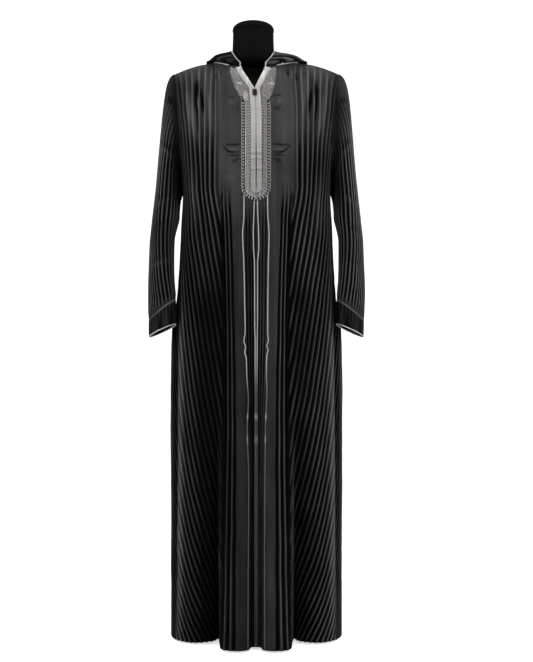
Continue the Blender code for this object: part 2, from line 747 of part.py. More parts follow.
def hood_columns():
    """Columns of the hood's right half, from the V's corner to the centre back."""
    stations = np.array(HOOD_STATIONS, float)
    seams = stations[:, 0]
    places = np.concatenate([[0.0], np.cumsum(np.linalg.norm(np.diff(seams, axis=0), axis=1))])
    between = passing_through(places, stations)
    keep = sorted(set(places) | {places[-1] * i / HOOD_COLUMNS for i in range(HOOD_COLUMNS)})
    merged = [keep[0]]
    for place in keep[1:]:
        if place - merged[-1] > 6:
            merged.append(place)
    merged[-1] = places[-1]
    grid = []
    for place in merged:
        controls = between(place)
        steps = np.concatenate([[0.0], np.cumsum(np.linalg.norm(np.diff(controls, axis=0), axis=1) ** 0.7)])
        across = passing_through(steps, controls)
        grid.append([across(step) + HOOD_LIFT for step in np.linspace(0, steps[-1], HOOD_ROWS)])
    grid = np.array(grid)
    whole = np.concatenate([grid, grid[-2::-1] * np.array([-1, 1, 1])])
    normals = grid_normals(whole, False)
    columns = []
    for line, line_normals in zip(whole, normals):
        columns.append([(row, point, point - normal * CLOTH)
                        for row, (point, normal) in enumerate(zip(line, line_normals))])
    return columns


class PanelFaces:
    """Finds points on the flat facets of a front panel, for what lies on it."""

    def __init__(self, columns):
        self.lines = panel_columns(False)
        self.columns = columns

    def point(self, s, h):
        i = min(max(int(np.searchsorted(self.lines, s, side="right")) - 1, 0), len(self.lines) - 2)
        share = min(max((s - self.lines[i]) / (self.lines[i + 1] - self.lines[i]), 0.0), 1.0)
        keys = [row[0] for row in self.columns[i]]
        j = min(max(int(np.searchsorted(keys, h, side="right")) - 1, 0), len(keys) - 2)
        rise = min(max((h - keys[j]) / (keys[j + 1] - keys[j]), 0.0), 1.0)
        near, far = self.columns[i], self.columns[i + 1]
        if share >= rise:
            return near[j][1] + share * (far[j][1] - near[j][1]) + rise * (far[j + 1][1] - far[j][1])
        return near[j][1] + rise * (near[j + 1][1] - near[j][1]) + share * (far[j + 1][1] - near[j + 1][1])

    def overlay(self, s, h, lift, thickness):
        """Inner and outer point above the panel."""
        normal = cloth_normal(s, h, False)
        base = self.point(s, h)
        return base + normal * (lift + thickness), base + normal * lift

    def strip(self, rows, lifts, thicknesses):
        """Columns for a wall on the panel; each row holds its (s, h) places from inside out."""
        columns = []
        for i, thickness in enumerate(thicknesses):
            columns.append([(k, *self.overlay(*row[i], lifts[k], thickness)) for k, row in enumerate(rows)])
        return columns


PANEL_ROWS = [UNDERARM] + [UNDERARM + YOKE_SPAN * share for share in YOKE_ROWS[0].shares[:3]]


def v_line(s):
    return V_FOOT + s * (V_EDGE[-1].z - V_FOOT) / V_EDGE[-1].s


def spread(inner, outer, shares):
    """Places between two (s, height) corners, as (s, h)."""
    made = []
    for share in shares:
        s = inner[0] + (outer[0] - inner[0]) * share
        z = inner[1] + (outer[1] - inner[1]) * share
        made.append((s, height_share(s, z, False)))
    return made


def band_rows():
    """The pale band: up beside the zip from its rounded foot, then out along the V."""
    shares = (0.0, 0.35, 0.7, 1.0)
    half = BAND_HALF_WIDTH
    feet = [1 + (half - 1) * share for share in shares]
    round_foot = [BAND_FOOT + half - math.sqrt(half**2 - (s * 0.97) ** 2) for s in feet]
    rows = [[(s, height_share(s, z, False)) for s, z in zip(feet, round_foot)]]
    for h in PANEL_ROWS:
        rows.append([(s, h) for s in feet])
    rows.append(spread((1.0, V_FOOT - 1), (half, v_line(half) - V_ARM_DROP), shares))
    for s in (8.0, 16.0, 24.0, 30.5):
        rows.append(spread((s, v_line(s) - 0.4), (s + half, v_line(s + half) - V_ARM_DROP), shares))
    return rows


def lace_rows():
    """The braid lace: round the band's foot, up outside it, and flared beside the V."""
    shares = (0.0, 0.3, 0.65, 1.0)
    inside = BAND_HALF_WIDTH + 1.0
    rows = [
        spread((1.0, BAND_FOOT - 1.2), (1.0, LACE_FOOT), shares),
        spread((7.5, BAND_FOOT + 1.0), (15.0, LACE_FOOT + 3.5), shares),
        spread((13.0, BAND_FOOT + 5.5), (28.0, LACE_FOOT + 13), shares),
        spread((inside, BAND_FOOT + 14), (35.5, LACE_FOOT + 27), shares),
    ]
    for h, outside in zip(PANEL_ROWS, LACE_SIDES):
        rows.append([(inside + (outside - inside) * share, h) for share in shares])
    rows.insert(-1, spread((inside, 1343), (33, 1347), shares))
    for s, out_s, out_z in LACE_FLARE:
        rows.append(spread((s, v_line(s) - V_ARM_DROP - LACE_TUCK), (out_s, out_z), shares))
    return rows


def cord_down(faces, s, top, bottom):
    """A cord lying on the panel's fold line s."""
    keys = [row[0] for row in faces.columns[3]]
    rows = [top] + [key for key in reversed(keys) if bottom + 20 < key < top - 20] + [bottom]
    return [faces.overlay(s, h, SEAM_GAP + CORD_RADIUS + 0.1, 0.0)[0] for h in rows]


def neck_piping(faces):
    path = []
    for s in (62, 69, 76, 83, 90, 97, 104, 111):
        h = height_share(s, top_of(s, False)[2] - 4.0, False)
        path.append(faces.overlay(s, h, SEAM_GAP + CORD_RADIUS + 0.1, 0.0)[0])
    return path


def hood_edge_cord(columns):
    """The cord beyond the hood's face edge."""
    rims = np.array([(column[-1][1] + column[-1][2]) / 2 for column in columns])
    insides = np.array([(column[-2][1] + column[-2][2]) / 2 for column in columns])
    path = []
    for rim, inside, along in zip(rims, insides, np.gradient(rims, axis=0)):
        ahead = rim - inside
        ahead -= along * ahead.dot(along) / along.dot(along)
        path.append(rim + ahead / np.linalg.norm(ahead) * (SEAM_GAP + CORD_RADIUS + 0.6))
    return path


def superellipse(ring, side_y, sides):
    points = []
    for i in range(sides):
        angle = 2 * math.pi * i / sides
        y = math.sin(angle) * ((ring.back_y - side_y) if math.sin(angle) > 0 else (side_y - ring.front_y))
        points.append(np.array([ring.half_width * math.cos(angle), side_y + y, ring.height]))
    return points


def stacked(name, rings, side_y, sides, finish):
    """A smooth closed body through its rings, with flat ends."""
    points = []
    for ring in rings:
        points += superellipse(ring, side_y, sides)
    faces = [list(range(sides))[::-1], list(range(len(points) - sides, len(points)))]
    for level in range(len(rings) - 1):
        for i in range(sides):
            a, b = level * sides + i, level * sides + (i + 1) % sides
            faces.append([a, b, b + sides, a + sides])
    return add_object(name, points, faces, finish)


def base_outline():
    """The low star that the form stands on: a hub and four square-ended legs."""
    legs = [(sign * x, y) for x, y in LEG_ENDS for sign in (1, -1)]
    angles = set()
    for x, y in legs:
        along = math.atan2(y, x)
        end_angle = math.atan2(LEG_HALF_WIDTH, math.hypot(x, y))
        root_angle = math.asin(LEG_HALF_WIDTH / BASE_HUB_RADIUS)
        angles |= {along - end_angle, along + end_angle, along - root_angle, along + root_angle}
    angles |= {-math.pi / 2, math.pi / 2, 0.0, math.pi, 0.35, math.pi - 0.35}
    outline = []
    for angle in sorted(angles):
        radius = BASE_HUB_RADIUS
        for x, y in legs:
            off = angle - math.atan2(y, x)
            if math.cos(off) > 0:
                reach = math.hypot(x, y) / math.cos(off)
                width = LEG_HALF_WIDTH / max(abs(math.sin(off)), 1e-9)
                radius = max(radius, min(reach, width))
        outline.append((radius * math.cos(angle), radius * math.sin(angle)))
    return outline


def prism(name, outline, low, high, finish):
    points = [np.array([x, y, z]) for z in (low, high) for x, y in outline]
    count = len(outline)
    faces = [list(range(count))[::-1], list(range(count, 2 * count))]
    faces += [[i, (i + 1) % count, count + (i + 1) % count, count + i] for i in range(count)]
    return add_object(name, points, faces, finish)


def round_outline(radius, sides):
    return [(radius * math.cos(2 * math.pi * i / sides), radius * math.sin(2 * math.pi * i / sides))
            for i in range(sides)]


def hardware_block(name, centre, frame, size, finish):
    """A small block in the slider's own frame: across, up the zip and out from the cloth."""
    across, up, out = frame
    corners = []
    for k in (-0.5, 0.5):
        for i, j in ((-0.5, -0.5), (0.5, -0.5), (0.5, 0.5), (-0.5, 0.5)):
            corners.append(centre + across * size[0] * i + up * size[1] * j + out * size[2] * k)
    faces = [[3, 2, 1, 0], [4, 5, 6, 7], [0, 1, 5, 4], [1, 2, 6, 5], [2, 3, 7, 6], [3, 0, 4, 7]]
    return add_object(name, corners, faces, finish)


def slider_frame(faces):
    foot = faces.point(1.0, height_share(1.0, SLIDER_HEIGHT, False)) * np.array([0, 1, 1])
    out = cloth_normal(SEAM_GAP, height_share(1.0, SLIDER_HEIGHT, False), False)
    across = np.array([1.0, 0.0, 0.0])
    return foot, (across, np.cross(out, across), out)


def make_slider(faces, finish):
    """The slider at the foot of the V: a plate with two lugs and a pin."""
    foot, frame = slider_frame(faces)
    across, up, out = frame
    back = BAND_LIFTS[-1] + BAND_THICKNESS + SEAM_GAP
    plate_centre = foot + out * (back + SLIDER_SIZE[2] / 2)
    plate = hardware_block("zip_slider", plate_centre, frame, SLIDER_SIZE, finish)
    top = back + SLIDER_SIZE[2]
    extras = []
    for side in (-1, 1):
        centre = foot + across * side * LUG_OFFSET + out * (top - 0.4 + LUG_SIZE[2] / 2)
        extras.append(hardware_block("slider_lug_guide", centre, frame, LUG_SIZE, finish))
    pin_centre = foot + out * (top + PIN_LIFT)
    pin_path = [pin_centre - across * LUG_OFFSET, pin_centre + across * LUG_OFFSET]
    extras.append(tube("slider_pin_guide", pin_path, finish, PIN_RADIUS, 8))
    for extra in extras:
        extra.hide_render = True
        extra.display_type = "WIRE"
        union = plate.modifiers.new(extra.name, "BOOLEAN")
        union.operation = "UNION"
        union.object = extra
    return pin_centre, frame


def pull_outline():
    """The tab's flat outline below its barrel: (across, down from the pin)."""
    outline = [(-PULL_NECK, PULL_START), (-PULL_NECK, PULL_CENTRE - math.sqrt(PULL_DISC**2 - PULL_NECK**2))]
    start = math.asin(PULL_NECK / PULL_DISC)
    steps = 12
    for k in range(1, steps):
        angle = start + (2 * math.pi - 2 * start) * k / steps
        outline.append((-PULL_DISC * math.sin(angle), PULL_CENTRE - PULL_DISC * math.cos(angle)))
    return outline + [(-x, y) for x, y in outline[1::-1]]


def make_pull(pin_centre, frame, finish):
    """The pull tab: a barrel round the pin and a disc that hangs against the band."""
    across, up, out = frame
    tilt = math.radians(PULL_TILT)
    down = -up * math.cos(tilt) - out * math.sin(tilt)
    face = out * math.cos(tilt) - up * math.sin(tilt)
    outline = pull_outline()
    count = len(outline)
    points = [pin_centre + across * x + down * y + face * PULL_THICKNESS * side
              for side in (-0.5, 0.5) for x, y in outline]
    faces = [list(range(count))[::-1], list(range(count, 2 * count))]
    faces += [[i, (i + 1) % count, count + (i + 1) % count, count + i] for i in range(count)]
    pull = add_object("zip_pull", points, faces, finish, origin=tuple(leaned(pin_centre)))
    ends = [pin_centre - across * PULL_BARREL_HALF, pin_centre + across * PULL_BARREL_HALF]
    barrel = tube("pull_barrel_guide", ends, finish, PULL_EYE, 12)
    bore = tube("pull_bore_guide", [pin_centre - across * 4, pin_centre + across * 4], finish, PULL_HOLE, 10)
    for guide, operation in ((barrel, "UNION"), (bore, "DIFFERENCE")):
        guide.hide_render = True
        guide.display_type = "WIRE"
        step = pull.modifiers.new(guide.name, "BOOLEAN")
        step.operation = operation
        step.object = guide
    return pull


def make_all():
    cloth = material("black pleated cloth", (0.022, 0.021, 0.021), 0.62)
    silver = material("silver cord", (0.62, 0.60, 0.57), 0.35, 0.8)
    satin = material("pale satin band", (0.55, 0.53, 0.50), 0.4, 0.1)
    braid = material("grey metallic lace", (0.25, 0.24, 0.23), 0.5, 0.5)
    jersey = material("matte black jersey", (0.012, 0.012, 0.012), 0.85)
    steel = material("painted black metal", (0.02, 0.02, 0.02), 0.5, 0.6)
    bronze = material("dark bronze metal", (0.22, 0.15, 0.08), 0.35, 1.0)

    front = panel(False)
    rear = panel(True)
    faces = PanelFaces(front)
    sleeve = sleeve_columns(front, rear)
    cuff = cuff_columns()
    hood = hood_columns()
    band = faces.strip(band_rows(), BAND_LIFTS, (BAND_THICKNESS,) * 4)
    lace = faces.strip(lace_rows(), LACE_LIFTS, LACE_THICKNESSES)
    cords = {
        "cord_outer": cord_down(faces, 32.0, LACE_FOOT + 10, HEM_HEIGHT + 4),
        "cord_centre": cord_down(faces, 4.0, LACE_FOOT - 4, HEM_HEIGHT + 4),
        "piping_neck": neck_piping(faces),
    }
    for side, label in ((1, "right"), (-1, "left")):
        def sided(columns):
            return columns if side > 0 else mirror_columns(columns)

        wall(f"front_{label}", sided(front), cloth)
        wall(f"sleeve_{label}", sided(sleeve), cloth, closed=True)
        wall(f"cuff_{label}", sided(cuff), cloth, closed=True)
        wall(f"band_{label}", sided(band), satin)
        wall(f"lace_{label}", sided(lace), braid)
        for name, path in cords.items():
            tube(f"{name}_{label}", [point if side > 0 else mirrored(point) for point in path], silver)
        path = [point if side > 0 else mirrored(point) for point in cuff_cord_path()]
        tube(f"cord_cuff_{label}", path, silver, closed=True)
    wall("back", mirror_columns(rear)[:0:-1] + rear, cloth)
    wall("hood", hood, cloth)
    tube("cord_hood", hood_edge_cord(hood), silver)

    stacked("form_torso", TORSO_RINGS, 6.0, 20, jersey)
    stacked("form_cap", CAP_RINGS, 6.0, 20, jersey)
    pole_top = TORSO_RINGS[0].height - SEAM_GAP
    prism("form_pole", round_outline(POLE_RADIUS, 16), BASE_HEIGHT + SEAM_GAP, pole_top, steel)
    prism("form_base", base_outline(), 0.0, BASE_HEIGHT, steel)

    pin_centre, frame = make_slider(faces, bronze)
    make_pull(pin_centre, frame, bronze)


for stale in list(bpy.data.objects):
    bpy.data.objects.remove(stale, do_unlink=True)
make_all()
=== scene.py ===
# %% [markdown]
# A hooded, finely pleated black robe on a limbless dress form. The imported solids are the
# fixed frame: every piece below is made around them, in metres, with +Z up, the front at -Y
# and +X to the viewer's right. The cloth is worked out in millimetres, in the robe's own
# frame, and brought into metres in one place when a mesh is made.
# %% The fixed frame
import math
from collections import namedtuple

import bmesh
import bpy
import numpy as np
from mathutils import Matrix, Vector


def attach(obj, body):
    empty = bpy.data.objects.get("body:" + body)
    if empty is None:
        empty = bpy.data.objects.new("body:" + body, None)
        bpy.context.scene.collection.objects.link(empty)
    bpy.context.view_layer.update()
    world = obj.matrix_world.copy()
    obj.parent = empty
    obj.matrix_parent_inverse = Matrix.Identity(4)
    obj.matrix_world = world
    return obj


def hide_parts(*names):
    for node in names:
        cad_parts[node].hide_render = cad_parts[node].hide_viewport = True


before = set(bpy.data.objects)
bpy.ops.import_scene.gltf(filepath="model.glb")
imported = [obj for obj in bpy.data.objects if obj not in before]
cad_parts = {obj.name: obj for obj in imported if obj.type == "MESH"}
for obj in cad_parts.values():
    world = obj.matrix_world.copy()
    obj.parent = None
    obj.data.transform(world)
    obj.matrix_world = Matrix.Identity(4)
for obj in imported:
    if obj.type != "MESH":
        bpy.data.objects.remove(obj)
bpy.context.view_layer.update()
BODY = "robe_on_form"
TAB = "pull_tab"
SIDES = ((1, "right"), (-1, "left"))
MM = 0.001
# How far the robe stands forward, and its neck to the left of the hem's middle, in millimetres.
DEPTH_SHIFT = -12.5
NECK_SHIFT = -9.0

# %% [markdown]
# The camera stands 2.8 m in front of the robe at knee height and tips up a little, so both the
# hem and the neck are in view. A tilt is used and no lens shift, which would push the robe
# out of the middle when it is seen from another side.
# %% Camera
IMAGE_WIDTH = 533
IMAGE_HEIGHT = 662
FOCAL_PIXELS = 1094.0
SENSOR = 36.0
CAMERA_DISTANCE = 2.8
CAMERA_HEIGHT = 0.60
CENTRE_COLUMN = 256.5
HORIZON_ROW = 400.0

camera_data = bpy.data.cameras.new("camera")
camera_data.sensor_width = SENSOR
camera_data.lens = SENSOR * FOCAL_PIXELS / IMAGE_HEIGHT
camera = bpy.data.objects.new("camera", camera_data)
tip = math.atan((HORIZON_ROW - IMAGE_HEIGHT / 2) / FOCAL_PIXELS)
aside = (IMAGE_WIDTH / 2 - CENTRE_COLUMN) * CAMERA_DISTANCE / FOCAL_PIXELS
camera.location = (aside, DEPTH_SHIFT * MM - CAMERA_DISTANCE, CAMERA_HEIGHT)
camera.rotation_euler = (math.pi / 2 + tip, 0.0, 0.0)
bpy.context.scene.collection.objects.link(camera)
bpy.context.scene.camera = camera
print("lens", round(camera_data.lens, 1), "mm, tipped up", round(math.degrees(tip), 2), "degrees")

# %% [markdown]
# A black robe on white needs wide soft lights: the cloth only shows by its sheen, so a large
# panel close to the camera lights the crests of the pleats and leaves their sides dark. Two
# side panels draw the outline. The floor and the backdrop are one white sweep.
# %% Lights and stage


def area_light(name, place, target, size, power):
    light = bpy.data.lights.new(name, "AREA")
    light.shape = "RECTANGLE"
    light.size, light.size_y = size
    light.energy = power
    lamp = bpy.data.objects.new(name, light)
    lamp.location = place
    lamp.rotation_euler = (Vector(target) - Vector(place)).to_track_quat("-Z", "Y").to_euler()
    bpy.context.scene.collection.objects.link(lamp)


area_light("key_panel", (1.5, -2.6, 2.2), (0, 0, 0.95), (0.9, 1.6), 50)
area_light("fill_panel", (-1.4, -2.7, 1.6), (0, 0, 0.9), (0.9, 2.0), 30)
area_light("left_edge_panel", (-2.1, -0.2, 1.3), (0, 0, 1.0), (0.7, 2.0), 30)
area_light("right_edge_panel", (2.1, -0.2, 1.3), (0, 0, 1.0), (0.7, 2.0), 30)
area_light("top_panel", (0, -0.4, 3.2), (0, 0, 1.2), (1.8, 1.2), 34)

WORLD_GLOW = 0.14
PAPER_GLOW = 0.62
ARC_STEPS = 12


def set_inputs(node, values):
    for key, value in values.items():
        node.inputs[key].default_value = value


def white_world():
    """White where the camera sees it and dim as a light, so that the panels shape the cloth."""
    world = bpy.data.worlds.new("white room")
    world.use_nodes = True
    nodes, links = world.node_tree.nodes, world.node_tree.links
    seen = nodes.new("ShaderNodeLightPath")
    strength = nodes.new("ShaderNodeMapRange")
    set_inputs(strength, {"To Min": WORLD_GLOW, "To Max": 1.0})
    links.new(seen.outputs["Is Camera Ray"], strength.inputs["Value"])
    links.new(strength.outputs[0], nodes["Background"].inputs["Strength"])
    nodes["Background"].inputs["Color"].default_value = (1, 1, 1, 1)
    bpy.context.scene.world = world


white_world()
bpy.context.scene.view_settings.view_transform = "Standard"
bpy.context.scene.view_settings.look = "None"


def white_sweep():
    """A floor that curves up into a backdrop."""
    half, front, behind, radius, height = 6.0, -6.0, 4.0, 1.5, 8.0
    profile = [(front, 0.0), (behind - radius, 0.0)]
    for i in range(1, ARC_STEPS + 1):
        angle = math.pi / 2 * i / ARC_STEPS
        profile.append((behind - radius + radius * math.sin(angle), radius - radius * math.cos(angle)))
    profile.append((behind, height))
    points = [(x, y, z) for x in (-half, half) for y, z in profile]
    count = len(profile)
    faces = [(i, i + count, i + count + 1, i + 1) for i in range(count - 1)]
    mesh = bpy.data.meshes.new("white_sweep")
    mesh.from_pydata(points, [], faces)
    mesh.shade_smooth()
    sweep = bpy.data.objects.new("white_sweep", mesh)
    bpy.context.scene.collection.objects.link(sweep)
    paper = bpy.data.materials.new("white paper")
    paper.use_nodes = True
    shader = paper.node_tree.nodes["Principled BSDF"]
    set_inputs(shader, {"Base Color": (0.93, 0.93, 0.93, 1), "Roughness": 0.9,
                        "Emission Color": (1, 1, 1, 1)})
    glow = paper.node_tree.nodes.new("ShaderNodeMath")
    glow.operation = "MULTIPLY"
    glow.inputs[1].default_value = PAPER_GLOW
    seen = paper.node_tree.nodes.new("ShaderNodeLightPath")
    paper.node_tree.links.new(seen.outputs["Is Camera Ray"], glow.inputs[0])
    paper.node_tree.links.new(glow.outputs[0], shader.inputs["Emission Strength"])
    mesh.materials.append(paper)


white_sweep()

# %% [markdown]
# The cloth doesn't stretch across, so a pleat keeps its distance s from the centre line all
# the way down. One table gives the robe's outline at a few heights, and another how the
# largest folds leave that outline towards the hem. A curve through the folds at each height
# is measured along its length, which turns s into a place in space.
# %% Outline and folds
HEM_HEIGHT = 5.0
UNDERARM = 1128.0
YOKE_SPAN = 300.0
SEAM_GAP = 0.12
PLEAT_DEPTH = 2.2
COLUMN_PITCH = 7.0

Section = namedtuple("Section", "height half_width front_y back_y side_y power")
BODY_SECTIONS = (
    Section(5, 216, -150, 172, 34, 2.2),
    Section(330, 218, -151, 162, 30, 2.2),
    Section(640, 219, -149, 150, 26, 2.1),
    Section(768, 217, -146, 143, 24, 2.0),
    Section(880, 202, -142, 134, 20, 2.1),
    Section(1000, 195, -137, 126, 16, 2.2),
    Section(1128, 191, -130, 120, 14, 2.3),
)
Fold = namedtuple("Fold", "name across hem_x hem_y rise")
FRONT_FOLDS = (
    Fold("centre valley", 0.0, 0, -119, 700),
    Fold("valley floor", 0.045, 10, -121, 700),
    Fold("column inner shoulder", 0.10, 19, -152, 700),
    Fold("column face", 0.23, 50, -163, 640),
    Fold("column outer shoulder", 0.375, 82, -146, 640),
    Fold("column wall", 0.41, 86, -90, 620),
    Fold("deep valley", 0.44, 95, -26, 620),
    Fold("lobe inner wall", 0.50, 106, -54, 620),
    Fold("lobe face", 0.70, 152, -73, 640),
    Fold("lobe shoulder", 0.91, 197, -40, 640),
)
SIDE_FOLD = Fold("side seam", 1.0, 216, 50, 640)
BACK_FOLDS = (
    Fold("centre back lobe", 0.0, 0, 188, 900),
    Fold("centre lobe shoulder", 0.17, 36, 178, 900),
    Fold("inner back valley", 0.29, 60, 132, 860),
    Fold("back lobe inner wall", 0.40, 84, 164, 860),
    Fold("back lobe face", 0.53, 116, 178, 820),
    Fold("back lobe shoulder", 0.66, 144, 158, 820),
    Fold("outer back valley", 0.76, 162, 112, 760),
    Fold("side lobe", 0.90, 194, 118, 700),
)


def ease(value):
    value = np.clip(value, 0.0, 1.0)
    return value * value * (3 - 2 * value)


def run_lengths(points):
    """How far along a line each of its points is."""
    return np.concatenate([[0.0], np.cumsum(np.linalg.norm(np.diff(points, axis=0), axis=1))])


def read_along(at, lengths, values):
    """The three columns of the values, read at places along a line."""
    return np.stack([np.interp(at, lengths, values[:, k]) for k in range(3)], axis=1)


def passing_through(places, values):
    """A smooth curve through the values that never overshoots; it takes an array of places."""
    places = np.asarray(places, float)
    values = np.asarray(values, float)
    wide = (-1,) + (1,) * (values.ndim - 1)
    gaps = np.diff(places)
    slopes = np.diff(values, axis=0) / gaps.reshape(wide)
    before, after = slopes[:-1], slopes[1:]
    agree = before * after > 0
    tangents = np.zeros_like(values)
    tangents[1:-1] = np.where(agree, 2 * before * after / np.where(agree, before + after, 1.0), 0.0)
    tangents[0], tangents[-1] = slopes[0], slopes[-1]

    def value(at):
        at = np.clip(np.asarray(at, float), places[0], places[-1])
        i = np.clip(np.searchsorted(places, at, side="right") - 1, 0, len(gaps) - 1)
        t = ((at - places[i]) / gaps[i]).reshape(at.shape + (1,) * (values.ndim - 1))
        gap = gaps[i].reshape(t.shape)
        held = values[i] * (2 * t**3 - 3 * t**2 + 1) + values[i + 1] * (3 * t**2 - 2 * t**3)
        return held + gap * (tangents[i] * (t**3 - 2 * t**2 + t) + tangents[i + 1] * (t**3 - t**2))

    return value


def catmull_rom(points, steps):
    """Points along a smooth line through the given ones; the ends are mirrored in x."""
    mirror = np.array([-1, 1])
    chain = np.vstack([points[1] * mirror, points, points[-2] * mirror])
    line = [points[:1]]
    share = (np.arange(steps) + 1)[:, None] / steps
    for p0, p1, p2, p3 in zip(chain[:-3], chain[1:-2], chain[2:-1], chain[3:]):
        t1 = math.sqrt(max(math.dist(p0, p1), 1e-6))
        t2 = t1 + math.sqrt(math.dist(p1, p2))
        t3 = t2 + math.sqrt(max(math.dist(p2, p3), 1e-6))
        t = t1 + (t2 - t1) * share
        a1 = (t1 - t) / t1 * p0 + t / t1 * p1
        a2 = (t2 - t) / (t2 - t1) * p1 + (t - t1) / (t2 - t1) * p2
        a3 = (t3 - t) / (t3 - t2) * p2 + (t - t2) / (t3 - t2) * p3
        b1 = (t2 - t) / t2 * a1 + t / t2 * a2
        b2 = (t3 - t) / (t3 - t1) * a2 + (t - t1) / (t3 - t1) * a3
        line.append((t2 - t) / (t2 - t1) * b1 + (t - t1) / (t2 - t1) * b2)
    return np.vstack(line)


section_at = passing_through([row.height for row in BODY_SECTIONS], [row[1:] for row in BODY_SECTIONS])
FOLD_STEPS = 20


def half_section(height):
    """The right half at one height: lengths along it, its points, and the side seam's length."""
    half_width, front_y, back_y, side_y, power = section_at(height)
    guides = []
    for fold in FRONT_FOLDS + (SIDE_FOLD,) + BACK_FOLDS[::-1]:
        far_y = back_y if fold in BACK_FOLDS else front_y
        plain_x = half_width * fold.across
        plain_y = side_y + (far_y - side_y) * (1 - fold.across**power) ** (1 / power)
        drawn_in = max(0.0, 1 - (height - HEM_HEIGHT) / fold.rise) ** 1.15
        guides.append((plain_x + (fold.hem_x - plain_x) * drawn_in,
                       plain_y + (fold.hem_y - plain_y) * drawn_in))
    line = catmull_rom(np.array(guides, float), FOLD_STEPS)
    lengths = run_lengths(line)
    return lengths, line, lengths[len(FRONT_FOLDS) * FOLD_STEPS]


# The sections are sampled once, every few millimetres up and along, and read between.
Z_STEP = (UNDERARM - HEM_HEIGHT) / 281
S_STEP = 1.5
S_START = -6.0
S_COUNT = 300
SECTION_HEIGHTS = HEM_HEIGHT + Z_STEP * np.arange(282)
SECTION_TABLE = {False: [], True: []}
SIDE_LENGTHS = {False: [], True: []}
for height in SECTION_HEIGHTS:
    lengths, line, side = half_section(height)
    for back in (False, True):
        s = S_START + S_STEP * np.arange(S_COUNT)
        place = lengths[-1] - s if back else s
        beyond = place > lengths[-1]
        inside = np.where(beyond, 2 * lengths[-1] - place, np.abs(place))
        sign = np.where((place < 0) | beyond, -1.0, 1.0)
        x = sign * np.interp(inside, lengths, line[:, 0])
        SECTION_TABLE[back].append(np.stack([x, np.interp(inside, lengths, line[:, 1])], axis=1))
        SIDE_LENGTHS[back].append(lengths[-1] - side if back else side)
SECTION_TABLE = {back: np.array(rows) for back, rows in SECTION_TABLE.items()}
SIDE_LENGTHS = {back: np.array(rows) for back, rows in SIDE_LENGTHS.items()}


def side_length(height, back):
    return np.interp(height, SECTION_HEIGHTS, SIDE_LENGTHS[back])


def section_xy(s, height, back):
    """Where the cloth's line s is at a height up to the underarm."""
    s, height = np.broadcast_arrays(np.asarray(s, float), np.asarray(height, float))
    row = np.clip((height - HEM_HEIGHT) / Z_STEP, 0, len(SECTION_HEIGHTS) - 1.000001)
    column = np.clip((s - S_START) / S_STEP, 0, S_COUNT - 1.000001)
    i, j = row.astype(int), column.astype(int)
    a, b = (row - i)[..., None], (column - j)[..., None]
    table = SECTION_TABLE[back]
    return ((1 - a) * ((1 - b) * table[i, j] + b * table[i, j + 1])
            + a * ((1 - b) * table[i + 1, j] + b * table[i + 1, j + 1]))


print("front half is", round(float(side_length(UNDERARM, False))), "mm wide at the underarm and",
      round(float(side_length(HEM_HEIGHT, False))), "mm at the hem")

# %% [markdown]
# Above the underarm each line s runs on over the chest to one of the upper edges: the V, the
# neckline, the shoulder seam or the armhole. The cloth leans back as it rises, by the angle
# that the edge's row gives, so a quarter of an arch carries it there.
# %% Upper edges
V_FOOT = 1380.0
Edge = namedtuple("Edge", "s x y z turn")
V_EDGE = (Edge(0, 0, -103, V_FOOT, 60), Edge(16, 16, -94.5, 1411.5, 60), Edge(32, 32, -80, 1443, 60))
FRONT_NECKLINE = (
    Edge(32, 32, -80, 1443, 60),
    Edge(50, 50, -71, 1449, 60),
    Edge(80, 80, -48, 1461, 66),
    Edge(102, 100, -20, 1472, 74),
    Edge(118, 112, 5, 1477, 82),
)
SHOULDER_SEAM = (
    Edge(118, 112, 5, 1477, 82),
    Edge(150, 145, 6, 1472, 82),
    Edge(185, 182, 6, 1461, 82),
    Edge(215, 212, 5, 1448, 82),
)
BACK_NECKLINE = (
    Edge(0, 0, 100, 1482, 25),
    Edge(60, 58, 90, 1481, 35),
    Edge(98, 94, 56, 1479, 60),
    Edge(118, 112, 5, 1477, 82),
)
# In the two armhole tables s is a share of the way from the shoulder point to the underarm.
FRONT_ARMHOLE = (
    Edge(0, 212, 5, 1448, 82),
    Edge(0.14, 209, -27, 1420, 70),
    Edge(0.35, 203, -46, 1361, 55),
    Edge(0.58, 197, -40, 1278, 40),
    Edge(0.80, 193, -18, 1196, 28),
    Edge(0.93, 191.5, 2, 1150, 18),
    Edge(1, 191, 14, 1128, 10),
)
BACK_ARMHOLE = (
    Edge(0, 212, 5, 1448, 82),
    Edge(0.18, 210, 38, 1414, 70),
    Edge(0.42, 203, 58, 1341, 55),
    Edge(0.62, 197, 54, 1257, 40),
    Edge(0.82, 192.5, 34, 1180, 25),
    Edge(1, 191, 14, 1128, 10),
)
ARM_START = SHOULDER_SEAM[-1].s


def edge_curve(rows, start=0.0, span=1.0):
    places = [start + row.s * span for row in rows]
    return places[-1], passing_through(places, [row[1:] for row in rows])


def upper_edges(back):
    arm_span = float(side_length(UNDERARM, back)) - ARM_START
    armhole = edge_curve(BACK_ARMHOLE if back else FRONT_ARMHOLE, ARM_START, arm_span)
    if back:
        return (edge_curve(BACK_NECKLINE), edge_curve(SHOULDER_SEAM), armhole)
    return (edge_curve(V_EDGE), edge_curve(FRONT_NECKLINE), edge_curve(SHOULDER_SEAM), armhole)


UPPER_EDGES = {back: upper_edges(back) for back in (False, True)}


def top_of(s, back):
    """x, y, z and turn of the upper edge for each s."""
    s = np.asarray(s, float)
    edges = UPPER_EDGES[back]
    found = edges[-1][1](s)
    for end, curve in edges[-2::-1]:
        found = np.where((s <= end)[..., None], curve(s), found)
    return found


